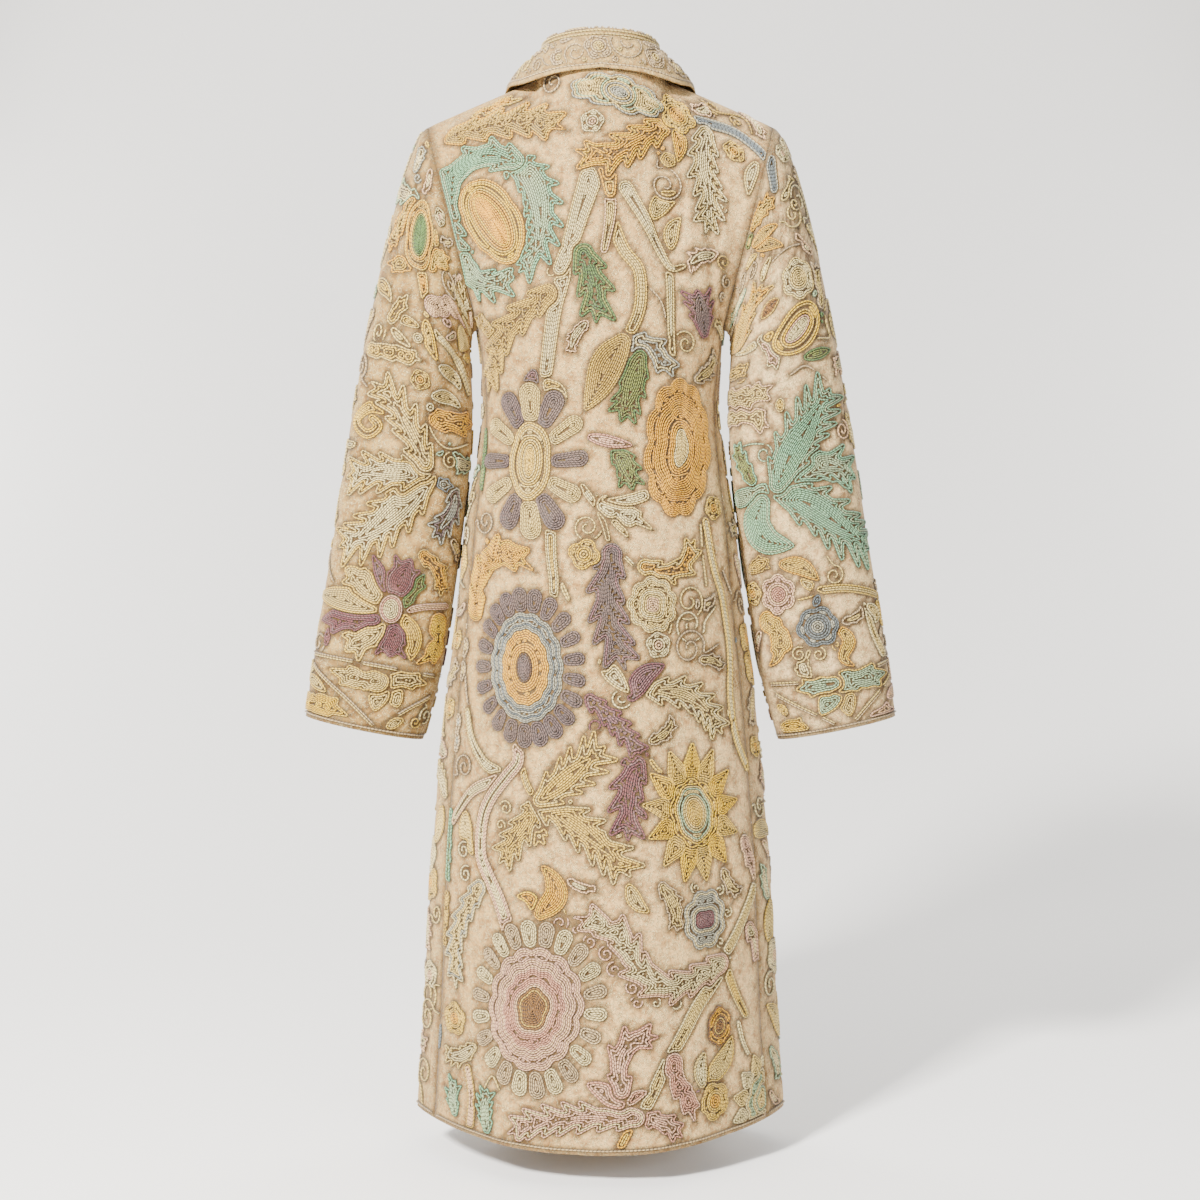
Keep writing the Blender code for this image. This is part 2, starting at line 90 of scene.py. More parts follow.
# The yoke, from the underarm up to the neck and shoulder seams
DOME_POWER = 2.6  # how late the yoke rounds over to the shoulder seam
NECK_LIFT_POWER = 9.0  # how late the cloth turns up to the neck seam
ROW_CROWDING = 1.7  # rows crowd towards the seams at the top
ARMHOLE_BACK_BULGE = 0.047  # how deep the armhole's oval is behind the side seam
ARMHOLE_FRONT_BULGE = 0.047
ARMHOLE_LOW_ROUNDING = 0.9  # the smaller, the blunter the oval's end
ARMHOLE_TOP_ROUNDING = 0.5
BULGE_SPREAD = 3.0  # how fast the bulge dies away towards the centre line

# Body sections from the underarm down. The side bend says how pointed the section's
# sides are: 1 is an ellipse. The seam angle is measured from centre back.
SECTION_COLUMNS = ("z", "half", "back", "front", "side_bend", "seam_deg")
SECTIONS = [
    (-0.262, 0.1300, 0.100, 0.126, 0.95, 82.0),
    (-0.300, 0.1258, 0.094, 0.120, 0.95, 78.0),
    (-0.339, 0.1245, 0.088, 0.108, 1.00, 74.0),
    (-0.400, 0.1310, 0.092, 0.104, 1.05, 70.0),
    (-0.466, 0.1420, 0.104, 0.110, 1.10, 67.0),
    (-0.551, 0.1505, 0.114, 0.118, 1.20, 66.0),
    (-0.636, 0.1617, 0.119, 0.124, 1.30, 65.0),
    (-0.721, 0.1707, 0.123, 0.129, 1.38, 64.0),
    (-0.806, 0.1776, 0.127, 0.133, 1.44, 64.0),
    (-0.890, 0.1830, 0.131, 0.137, 1.50, 63.0),
    (-0.975, 0.1870, 0.135, 0.141, 1.55, 63.0),
    (-1.090, 0.1947, 0.141, 0.147, 1.60, 63.0),
]

# Soft folds of the body, each along a middle line. A negative depth is a trough.
BODY_FOLDS = [
    # face, x and z at the top, x and z at the low end, width, depth
    ("back", -0.094, -0.075, -0.108, -0.300, 0.011, 0.0040),
    ("back", -0.070, -0.090, -0.080, -0.290, 0.012, -0.0022),
    ("back", -0.122, -0.110, -0.118, -0.290, 0.010, -0.0024),
    ("back", 0.104, -0.095, 0.112, -0.300, 0.013, 0.0036),
    ("back", 0.078, -0.110, 0.086, -0.280, 0.013, -0.0018),
    ("back", -0.042, -0.520, -0.058, -1.200, 0.024, 0.0030),
    ("back", 0.070, -0.560, 0.100, -1.200, 0.026, 0.0026),
    ("back", 0.018, -0.640, 0.024, -1.200, 0.028, -0.0022),
    ("back", -0.100, -0.600, -0.138, -1.200, 0.022, -0.0026),
    ("front", -0.096, -0.100, -0.092, -0.330, 0.016, 0.0034),
    ("front", 0.098, -0.110, 0.096, -0.320, 0.016, 0.0034),
    ("front", -0.060, -0.540, -0.088, -1.200, 0.026, 0.0034),
    ("front", 0.064, -0.580, 0.094, -1.200, 0.026, 0.0034),
    ("front", -0.112, -0.500, -0.150, -1.200, 0.022, -0.0028),
    ("front", 0.114, -0.520, 0.152, -1.200, 0.022, -0.0028),
]
FOLD_FADE = 0.10  # length over which each end of a fold dies away

# Sleeve sections down the arm, at the wearer's left (+X). The ring's own width runs
# from its inner to its outer point, and its depth runs front to back.
SLEEVE_COLUMNS = ("in_x", "in_z", "out_x", "out_z", "mid_y", "depth")
SLEEVE_SECTIONS = [
    (0.1375, -0.2960, 0.2480, -0.274, 0.005, 0.0545),
    (0.1355, -0.3450, 0.2570, -0.322, 0.005, 0.0520),
    (0.1380, -0.4000, 0.2665, -0.377, 0.003, 0.0500),
    (0.1440, -0.4560, 0.2755, -0.432, -0.001, 0.0490),
    (0.1520, -0.5150, 0.2850, -0.490, -0.007, 0.0480),
    (0.1615, -0.5750, 0.2960, -0.549, -0.014, 0.0470),
    (0.1730, -0.6340, 0.3065, -0.608, -0.021, 0.0460),
    (0.1905, -0.6955, 0.3165, -0.670, -0.029, 0.0450),
]
CAP_OUT_LOW = 0.030  # how far the sleeve stands out before it turns down, at the underarm
CAP_OUT_TOP = 0.064  # and at the shoulder
CAP_DOWN_LOW = 0.045
CAP_DOWN_TOP = 0.190
CAP_SLOPE = 0.25  # how much the sleeve already falls where it leaves the shoulder
SLEEVE_FOLDS = [
    # turn round the arm (0 at the back), top z, low z, slant, width, depth
    (-22.0, -0.20, -0.40, 18.0, 12.0, 0.0036),
    (16.0, -0.24, -0.44, 14.0, 11.0, -0.0024),
    (170.0, -0.36, -0.50, -16.0, 16.0, 0.0034),
    (196.0, -0.39, -0.53, -14.0, 14.0, -0.0028),
    (-8.0, -0.44, -0.62, 10.0, 16.0, 0.0022),
]

# Collar, in one: a stand that rolls over, and a leaf that lies out over the shoulders
STAND_COLUMNS = ("turn", "height", "lean")
STAND = [
    (0, 0.0330, 0.0045),
    (45, 0.0330, 0.0100),
    (90, 0.0325, 0.0165),
    (135, 0.0280, 0.0120),
    (180, 0.0220, 0.0060),
]
ROLL_RADIUS = 0.0048
ROLL_DROP = 0.0040  # how far the roll comes down outside before the leaf runs out
LEAF_COLUMNS = ("turn", "x", "y", "z", "bulge")
LEAF_EDGE = [
    (0, 0.0000, 0.0725, 0.0010, 0.0025),
    (30, 0.0430, 0.0670, -0.0030, 0.0025),
    (60, 0.0800, 0.0440, -0.0090, 0.0025),
    (90, 0.0985, 0.0030, -0.0058, 0.0030),
    (120, 0.1000, -0.0420, -0.0230, 0.0060),
    (145, 0.0850, -0.0860, -0.0600, 0.0110),
    (165, 0.0640, -0.1080, -0.0930, 0.0115),
    (180, 0.0450, -0.1150, -0.1100, 0.0105),
]
NECK_SHARE = 0.30  # of a body row, the columns that end at the neck

# Photograph and camera
PHOTO_PIXELS = 1200
PIXEL = 0.00106  # metres to a pixel of the photograph, at the shoulders' distance
PHOTO_CENTRE_X = 600.5  # the pixel column of the coat's middle
PHOTO_ORIGIN_Y = 85.0  # the pixel row of the row frame's origin
ACROSS_STEP = 4  # pixels by which a place's own right is found
DOWN_STEP = 6  # and its own up and down
FACING = 0.05  # a place is seen where its normal looks this much to the camera
LONGEST_MOVE = 0.03
CAMERA_DISTANCE = 2.1
CAMERA_Z = -0.50
SENSOR = 36.0
MOTIF_PIXEL = 0.00102  # metres on the cloth to a pixel of a motif's size

# Cloth
CLOTH_WALL = 0.0015
COLLAR_CLOTH_WALL = 0.8 * COLLAR_WALL
BODY_CLOTH_COLUMNS = 46
YOKE_CLOTH_ROWS = 60
SKIRT_CLOTH_ROWS = 190
SLEEVE_CLOTH_COLUMNS = 88
SLEEVE_HEAD_CLOTH_ROWS = 34
SLEEVE_CLOTH_ROWS = 100
COLLAR_CLOTH_COLUMNS = 150
CRUMPLE = 0.0005  # faint unevenness all over the body
SEAM_EASE = 0.08  # share of a half width over which folds die away at the seams
TOP_EASE = 14  # rows over which they die away at the top
FLAT_STEP = 0.002  # cell of the table from flat to worn places
CELL = 0.0010  # cell of the flat raster on which motifs are drawn

# Rows of stitches
ROW_PITCH = 0.0021  # between the rows that fill a motif
ROW_OVERLAP = 1.12  # how much wider rows are than their pitch
ROW_WIDTHS = (0.0018, 0.0032)  # the least and the most
ROW_HEIGHT = 0.0019
ROW_SINK = 0.0003  # how far a row's feet are sunk in the cloth
ROW_END = 0.45  # share of a row's width and height that its ends keep
LEAST_DEPTH = 0.0009  # a shallower area gets no row
STITCH = 0.0048  # two steps along a row
LINK_SHARE = 0.6  # chain links to a step
STEM_ROW = 0.0022  # width of the rows of stems, curls and edges
STEM_OVERLAP = 1.08
STEM_STEP = 0.0015  # spacing of the points of a stem
SHORTEST_RUN = 3  # a stretch with no more points is left out
LEAF_STEP = 0.004  # and along a leaf or branch
TINT_SPREAD = 0.07  # how far rows of one colour differ
STEP_SPREAD = 0.08  # and the steps of one row
# Painted shade: the feet of each row are darkened against its top, where shade falls between rows
PAINTED_CREVICE_SHADE = 0.02  # brightness of a row's feet beside its top
BORDER_INSET = 0.0045  # edge rows lie this far inside the edge
COLLAR_BORDER_INSET = 0.004
BORDER_POINTS = 60
ROLL_STITCHES = (0.050, 0.054)  # topstitching along the collar's roll, down from the neck seam
ROLL_STITCH_ENDS = 0.012  # how far it stops short of the collar's ends
DRAWING_ORDER = ("rosette", "leaf", "branch", "stem")
EMBROIDERY_PARTS = {"back": 3, "front_left": 2, "front_right": 2}  # meshes of rows, one elsewhere

# Room round motifs
GAP = 0.0012  # least room between two motifs
RING_GAP = 0.0004  # between the rings of a rosette
PETAL_GAP = 0.0005  # between its petals and the ring inside
SECTOR_GAP = 0.0015  # how far a petal stays out of its neighbours' share of the turn
ROUND_PETAL = (0.78, 0.95)  # a petal's half width at its base and at its tip, as shares of its room
POINTED_PETAL = (0.98, 0.10)

# Motifs that fill gaps
FILLER_LIMIT = 400
FILLER_ROOM = {"back": 0.0185, "collar": 0.0042}  # smallest gap that is filled
FILLER_ROOM_ELSEWHERE = 0.0150
FILLER_REACH = 0.030
FILLED_ROOM = 0.9  # a gap counts as this share of the smallest once it is filled
FIRST_SEED = 20  # the pieces' seeds follow it in their order
COLLAR_SEED = 60

# Shade on the cloth
CLOSE_SHADE = 0.0024  # how far the shade beside motifs reaches
CLOSE_SHADE_SHARE = {"collar": 0.45}  # how much of it shows, all of it elsewhere
EDGE_BAND = 0.004  # along the edges less of it shows
EDGE_SHADE_SHARE = 0.35
SEAM_SHADE = 0.85  # how dark the shade along the seams is
SEAM_SHADE_WIDTH = 0.006
SHADE_DENT = 0.0005  # how far shaded cloth is drawn in
CLOTH_PUFF = 0.0003  # and how far open cloth stands out

# Small wrinkles over the main folds, in the same columns as theirs
BODY_WRINKLES = [
    ("back", -0.060, -0.055, -0.056, -0.260, 0.0060, -0.0026),
    ("back", -0.084, -0.060, -0.092, -0.270, 0.0065, 0.0024),
    ("back", 0.132, -0.060, 0.108, -0.300, 0.0070, 0.0034),
    ("back", -0.136, -0.070, -0.112, -0.300, 0.0070, 0.0036),
    ("back", -0.033, -0.560, -0.036, -0.800, 0.0060, 0.0020),
    ("back", 0.046, -0.300, 0.030, -0.620, 0.0090, -0.0022),
    ("front", 0.050, -0.200, 0.040, -0.480, 0.0070, -0.0012),
    ("front", -0.052, -0.200, -0.042, -0.480, 0.0070, -0.0012),
]
SLEEVE_WRINKLES = [
    # turn round the arm (0 at the back), top z, low z, slant, width, depth
    (-40.0, -0.24, -0.38, 30.0, 8.0, 0.0030),
    (-60.0, -0.26, -0.36, 26.0, 7.0, -0.0028),
    (10.0, -0.30, -0.52, -12.0, 8.0, 0.0024),
    (200.0, -0.34, -0.46, 22.0, 8.0, 0.0016),
]

# Thread colours, linear
THREADS = {
    "cream": (0.89, 0.71, 0.31),
    "ivory": (0.92, 0.79, 0.46),
    "straw": (0.90, 0.66, 0.17),
    "yellow": (0.95, 0.66, 0.05),
    "gold": (0.92, 0.56, 0.04),
    "orange": (0.94, 0.55, 0.05),
    "tan": (0.72, 0.52, 0.15),
    "brown": (0.40, 0.23, 0.08),
    "umber": (0.24, 0.15, 0.09),
    "mint": (0.38, 0.62, 0.42),
    "pale_mint": (0.56, 0.68, 0.46),
    "green": (0.20, 0.32, 0.12),
    "moss": (0.36, 0.40, 0.14),
    "plum": (0.36, 0.16, 0.18),
    "mauve": (0.42, 0.25, 0.26),
    "grey_plum": (0.31, 0.23, 0.22),
    "slate": (0.28, 0.32, 0.34),
    "mist": (0.56, 0.55, 0.46),
    "peach": (0.92, 0.66, 0.42),
    "rose": (0.80, 0.47, 0.35),
    "pink": (0.88, 0.60, 0.44),
    "linen": (0.72, 0.57, 0.36),
}

# Motifs seen in the photograph, placed by its pixels. Sizes are in its pixels too. Colours go
# from the outer row inwards, or round the petals.
# Rosettes: x, y, tilt, rings from the innermost. Each ring has its half width, half height and
# colours. Its edge may have a number of lobes and their depth, or it is parted into petals: then
# the depth is a share, and one lobe stands for pointed tips.
ROSETTES = {
    "back": [
        (525, 668, -8, [
            (9, 15, "umber grey_plum"),
            (27, 38, "gold gold orange gold", 13, 2.5),
            (42, 55, "mist mist slate mist", 15, 3),
            (64, 80, "grey_plum", 0, 0.9, 21),
        ]),
        (680, 448, 4, [
            (9, 21, "ivory cream", 3, 3),
            (24, 44, "gold orange", 7, 3),
            (41, 72, "orange gold orange orange", 11, 6),
        ]),
        (530, 460, 0, [
            (8, 18, "cream straw"),
            (24, 41, "straw cream straw cream", 5, 2),
            (62, 80, "grey_plum cream", 0, 0.8, 12),
        ]),
        (694, 812, -10, [
            (12, 16, "cream straw"),
            (22, 29, "cream pale_mint cream", 7, 2),
            (30, 36, "yellow straw", 9, 4),
            (60, 72, "yellow straw", 1, 1.05, 13),
        ]),
        (533, 1008, 4, [
            (17, 22, "brown tan brown", 5, 3),
            (36, 44, "peach pink rose", 12, 4),
            (51, 62, "pink peach pink", 14, 5),
            (74, 88, "ivory linen", 0, 0.84, 22),
        ]),
        (491, 219, -27, [(13, 38, "gold yellow orange"), (29, 57, "gold straw yellow", 5, 3)]),
        (705, 919, 0, [(14, 10, "plum mauve", 4, 3), (28, 31, "mist ivory mist", 8, 5)]),
        (653, 605, 0, [(10, 11, "cream peach", 4, 3), (27, 29, "cream ivory cream", 9, 5)]),
        (584, 554, 0, [(5, 5, "straw"), (17, 16, "yellow straw", 4, 5)]),
        (719, 1026, 0, [(8, 9, "tan brown"), (17, 21, "brown gold", 6, 3)]),
        (618, 92, 8, [(12, 8, "cream mist"), (52, 21, "mist cream pale_mint cream", 9, 6)]),
        (676, 115, 0, [(8, 8, "gold"), (21, 21, "yellow straw", 6, 6)]),
        (762, 1098, 0, [
            (12, 14, "pale_mint cream", 5, 3),
            (28, 32, "ivory cream pale_mint", 9, 5),
            (48, 54, "ivory cream", 1, 1.0, 13),
        ]),
        (668, 160, 0, [(9, 9, "straw tan", 5, 2)]),
    ],
    "sleeve_left": [
        (391, 609, 0, [(12, 15, "pink rose ivory")]),
        (420, 234, 8, [(10, 24, "moss green"), (21, 40, "straw gold tan", 5, 3)]),
        (418, 338, 0, [(6, 6, "cream ivory")]),
        (430, 407, 0, [(5, 5, "ivory")]),
    ],
    "sleeve_right": [
        (818, 627, 0, [(9, 9, "slate mist"), (23, 22, "slate slate mist", 6, 4)]),
        (778, 594, 0, [(8, 8, "rose"), (20, 22, "peach pink", 6, 5)]),
        (798, 278, 0, [(8, 8, "cream"), (21, 21, "cream ivory", 6, 4)]),
        (798, 329, 52, [(8, 17, "pink ivory"), (20, 31, "yellow straw yellow")]),
        (780, 405, 0, [(5, 8, "cream straw")]),
        (813, 292, 0, [(6, 5, "pale_mint")]),
    ],
}

# Leaves: x and y of each point along the leaf, width, colours, number of teeth, their depth
LEAVES = {
    "back": [
        ((518, 162, 484, 156, 454, 176, 446, 214, 458, 262), 42, "mint pale_mint mint", 8, 0.42),
        ((508, 158, 532, 180, 541, 214, 536, 250, 516, 276), 44, "mint mint pale_mint", 8, 0.42),
        ((448, 246, 470, 274, 494, 284, 520, 274), 40, "mint pale_mint", 6, 0.42),
        ((664, 126, 634, 142, 604, 156, 571, 149), 36, "gold yellow gold", 5, 0.5),
        ((676, 124, 680, 146, 677, 164), 16, "yellow gold"),
        ((654, 140, 662, 154, 665, 167), 14, "gold straw"),
        ((452, 136, 492, 126, 530, 121, 570, 131), 36, "gold straw tan", 5, 0.55),
        ((474, 120, 502, 106, 528, 98), 13, "straw gold", 2, 0.4),
        ((706, 131, 703, 165, 709, 201, 705, 237), 38, "ivory cream ivory", 6, 0.5),
        ((756, 164, 750, 178, 748, 198), 14, "cream ivory"),
        ((582, 250, 590, 272, 596, 298, 596, 326), 38, "green moss green", 3, 0.5),
        ((704, 332, 702, 312, 696, 288), 40, "plum mauve grey_plum", 3, 0.45),
        ((549, 292, 520, 316, 498, 346, 488, 398), 36, "tan straw tan", 5, 0.55),
        ((500, 350, 490, 330, 472, 314), 18, "straw tan", 3, 0.5),
        ((622, 342, 608, 362, 598, 386, 584, 412), 34, "tan straw tan"),
        ((640, 357, 632, 386, 620, 424), 34, "green moss", 4, 0.35),
        ((626, 344, 650, 346, 664, 362, 675, 380), 26, "mist ivory mist", 3, 0.4),
        ((590, 437, 612, 442, 636, 446), 13, "rose pink"),
        ((616, 449, 626, 466, 633, 492), 30, "green moss", 3, 0.4),
        ((476, 612, 480, 576, 502, 552, 538, 573), 30, "gold yellow gold", 4, 0.45),
        ((500, 556, 490, 546, 486, 536), 12, "gold straw"),
        ((612, 550, 607, 588, 612, 632, 627, 674), 40, "grey_plum mauve grey_plum", 5, 0.5),
        ((645, 567, 664, 572, 684, 566, 696, 534), 26, "straw cream gold", 4, 0.5),
        ((602, 662, 614, 676, 630, 694), 18, "cream ivory"),
        ((632, 696, 644, 676, 666, 664), 22, "plum mauve"),
        ((650, 690, 684, 694, 708, 712, 724, 738), 36, "cream ivory cream", 6, 0.5),
        ((590, 700, 612, 719, 632, 743, 645, 758), 24, "plum mauve", 5, 0.55),
        ((640, 754, 630, 784, 628, 812, 628, 844), 38, "plum mauve plum", 4, 0.5),
        ((540, 800, 560, 784, 584, 764, 608, 744), 46, "straw cream straw", 5, 0.5),
        ((541, 802, 572, 822, 604, 848, 634, 880), 44, "cream straw straw", 6, 0.5),
        ((538, 804, 524, 826, 510, 846, 498, 866), 34, "cream straw", 4, 0.5),
        ((540, 806, 538, 828, 534, 850), 22, "straw cream", 3, 0.5),
        ((540, 914, 556, 896, 552, 878, 540, 864), 24, "gold yellow gold"),
        ((538, 914, 530, 898, 515, 896), 14, "yellow gold"),
        ((481, 885, 464, 914, 455, 945, 457, 994), 28, "ivory mist cream", 6, 0.5),
        ((722, 962, 693, 979, 664, 986, 638, 968, 622, 938, 596, 922, 566, 916),
            34, "pink peach ivory", 8, 0.5),
        ((622, 1090, 619, 1062, 632, 1041, 662, 1036), 28, "rose pink", 4, 0.45),
        ((620, 1104, 604, 1092, 585, 1083), 20, "rose pink"),
        ((624, 1104, 636, 1096, 649, 1091), 12, "pink rose"),
        ((640, 1118, 604, 1117, 564, 1119, 530, 1124, 503, 1136), 32, "pink ivory pink", 7, 0.5),
        ((673, 1059, 676, 1081, 687, 1099, 696, 1126), 20, "pink rose", 3, 0.4),
        ((702, 1084, 700, 1066, 705, 1050), 17, "cream ivory"),
        ((644, 1118, 666, 1124, 684, 1139), 22, "rose pink", 3, 0.4),
        ((455, 1112, 453, 1096, 456, 1078), 26, "mint pale_mint", 3, 0.5),
        ((487, 1130, 485, 1108, 488, 1086), 26, "mint pale_mint", 4, 0.5),
        ((440, 812, 440, 850, 436, 890), 18, "mint green", 4, 0.4),
        ((440, 892, 444, 925, 438, 960), 14, "tan straw", 3, 0.4),
        ((434, 1020, 438, 1040, 432, 1062), 12, "slate mist"),
        ((484, 430, 480, 455, 482, 494), 16, "green moss"),
        ((749, 929, 758, 952, 768, 976, 776, 998), 24, "pink peach ivory", 5, 0.5),
        ((744, 698, 752, 722, 748, 744), 14, "mauve rose"),
        ((738, 640, 744, 658, 742, 680), 14, "slate mist", 3, 0.4),
        ((744, 842, 752, 866, 764, 892), 16, "peach pink", 4, 0.4),
        ((654, 492, 628, 500, 604, 500), 13, "cream ivory"),
        ((604, 504, 630, 516, 656, 532), 15, "cream ivory", 2, 0.3),
        ((606, 510, 618, 524, 630, 540), 10, "cream"),
        ((448, 640, 446, 672, 444, 700), 12, "linen cream", 2, 0.4),
        ((446, 716, 444, 742, 440, 770), 12, "linen mist", 2, 0.4),
        ((533, 374, 528, 392, 520, 410), 20, "grey_plum mauve"),
        ((548, 384, 558, 398, 552, 414), 22, "cream straw"),
    ],
    "sleeve_left": [
        ((429, 143, 446, 151, 459, 164), 17, "straw gold"),
        ((416, 170, 421, 156, 424, 143), 16, "mist ivory", 3, 0.4),
        ((412, 204, 398, 230, 388, 258), 20, "gold tan straw", 3, 0.4),
        ((417, 262, 402, 264, 386, 264), 15, "gold straw", 2, 0.3),
        ((424, 262, 438, 260, 451, 258), 15, "gold straw", 2, 0.3),
        ((434, 250, 436, 238, 435, 226), 11, "straw gold"),
        ((426, 322, 430, 344, 438, 364), 14, "yellow straw"),
        ((380, 282, 388, 292, 392, 305), 14, "cream straw"),
        ((392, 318, 402, 304, 410, 292), 15, "cream straw", 2, 0.4),
        ((372, 350, 398, 354, 427, 362), 16, "cream straw", 3, 0.4),
        ((397, 317, 410, 322, 423, 329), 11, "cream straw"),
        ((392, 328, 404, 342, 417, 354), 10, "cream"),
        ((433, 308, 452, 308, 466, 332), 16, "pink peach", 2, 0.3),
        ((441, 368, 454, 378, 460, 392), 15, "ivory cream"),
        ((434, 396, 448, 398, 461, 409), 15, "ivory cream"),
        ((427, 466, 408, 426, 390, 396, 370, 380), 38, "cream straw cream", 5, 0.5),
        ((435, 418, 452, 423, 472, 424), 24, "orange gold", 2, 0.3),
        ((426, 470, 400, 472, 374, 472, 346, 478), 44, "cream straw ivory", 4, 0.45),
        ((428, 479, 398, 508, 366, 534, 338, 548), 54, "straw cream ivory", 6, 0.45),
        ((430, 480, 442, 484, 455, 487), 14, "slate mist", 2, 0.3),
        ((455, 492, 452, 512, 430, 540), 30, "mist grey_plum mist", 4, 0.5),
        ((395, 594, 402, 576, 412, 558), 32, "plum mauve plum", 2, 0.2),
        ((388, 592, 380, 572, 372, 552), 14, "plum mauve"),
        ((379, 598, 364, 582, 344, 566), 32, "straw cream", 2, 0.2),
        ((376, 606, 350, 600, 324, 594), 26, "straw cream"),
        ((375, 612, 350, 616, 322, 620), 30, "plum mauve plum", 2, 0.2),
        ((332, 626, 328, 636, 326, 648), 10, "plum"),
        ((380, 620, 364, 636, 344, 652), 34, "straw cream", 2, 0.2),
        ((391, 626, 391, 642, 390, 658), 34, "plum mauve plum", 2, 0.2),
        ((402, 618, 412, 640, 410, 662), 24, "yellow straw"),
        ((438, 620, 436, 648, 412, 666), 18, "gold yellow", 2, 0.3),
        ((404, 602, 414, 588, 426, 573), 18, "green moss", 2, 0.3),
        ((424, 556, 440, 574, 440, 600), 20, "tan gold", 3, 0.4),
        ((382, 682, 356, 678, 328, 668), 20, "straw cream", 2, 0.2),
        ((387, 681, 406, 680, 428, 684), 18, "straw cream", 2, 0.2),
        ((383, 686, 378, 698, 374, 712), 22, "straw cream"),
        ((387, 686, 394, 696, 398, 708), 22, "straw cream"),
        ((306, 676, 316, 682, 328, 693), 14, "straw cream"),
        ((305, 702, 326, 706, 351, 717), 20, "straw yellow", 2, 0.2),
        ((388, 727, 396, 722, 405, 719), 12, "straw cream"),
    ],
    "sleeve_right": [
        ((752, 226, 764, 208, 776, 196), 24, "gold straw", 3, 0.4),
        ((754, 244, 766, 232, 779, 224), 18, "gold tan"),
        ((756, 246, 770, 244, 785, 246), 16, "gold tan"),
        ((760, 242, 762, 250, 764, 258), 12, "gold tan"),
        ((748, 244, 750, 230, 752, 214), 16, "moss straw", 2, 0.3),
        ((747, 268, 751, 260, 758, 254), 11, "straw cream"),
        ((736, 350, 744, 322, 754, 300, 764, 282), 50, "tan gold tan", 5, 0.42),
        ((764, 316, 772, 304, 780, 298), 16, "tan brown"),
        ((806, 322, 814, 318, 824, 313), 15, "green moss", 2, 0.3),
        ((766, 337, 774, 336, 782, 333), 13, "yellow straw"),
        ((806, 357, 820, 353, 831, 349), 13, "green moss"),
        ((764, 339, 774, 354, 777, 372), 18, "ivory pink", 2, 0.3),
        ((762, 340, 748, 350, 735, 356), 13, "ivory cream"),
        ((732, 376, 742, 370, 750, 360), 15, "tan straw", 2, 0.3),
        ((730, 398, 752, 396, 776, 384), 24, "peach cream", 3, 0.4),
        ((730, 420, 746, 414, 756, 418, 773, 430), 22, "peach cream", 3, 0.4),
        ((778, 484, 792, 452, 812, 418, 831, 386), 56, "mint pale_mint mint", 6, 0.45),
        ((790, 476, 812, 466, 836, 466, 856, 480), 44, "mint mint pale_mint", 4, 0.45),
        ((781, 492, 814, 507, 846, 530, 869, 551), 58, "mint pale_mint mint", 6, 0.45),
        ((762, 503, 756, 524, 768, 541, 796, 546), 34, "mint pale_mint mint"),
        ((752, 480, 742, 462, 734, 442), 22, "mint moss", 3, 0.4),
        ((829, 415, 833, 407, 841, 401), 14, "yellow gold"),
        ((752, 570, 760, 564, 771, 559), 20, "tan straw", 2, 0.3),
        ((783, 564, 802, 567, 820, 581), 19, "gold straw"),
        ((806, 574, 808, 582, 811, 591), 16, "straw cream"),
        ((766, 619, 780, 634, 778, 656, 768, 668), 19, "gold straw", 2, 0.2),
        ((838, 628, 849, 640, 843, 658, 857, 667), 15, "gold straw"),
        ((815, 606, 817, 600, 819, 593), 9, "slate"),
        ((868, 606, 876, 614, 874, 624), 14, "ivory cream"),
        ((834, 683, 814, 687, 794, 690), 20, "straw pale_mint", 2, 0.2),
        ((838, 682, 862, 678, 887, 671), 24, "straw pale_mint", 2, 0.2),
        ((836, 686, 828, 702, 820, 716), 24, "straw pale_mint"),
        ((840, 686, 846, 702, 850, 717), 24, "straw cream"),
        ((785, 727, 798, 726, 812, 731), 18, "straw yellow", 2, 0.2),
        ((779, 706, 784, 710, 788, 716), 11, "straw"),
        ((872, 722, 884, 714, 899, 708), 20, "pink peach", 2, 0.2),
        ((888, 696, 894, 688, 898, 680), 14, "pink peach"),
    ],
}

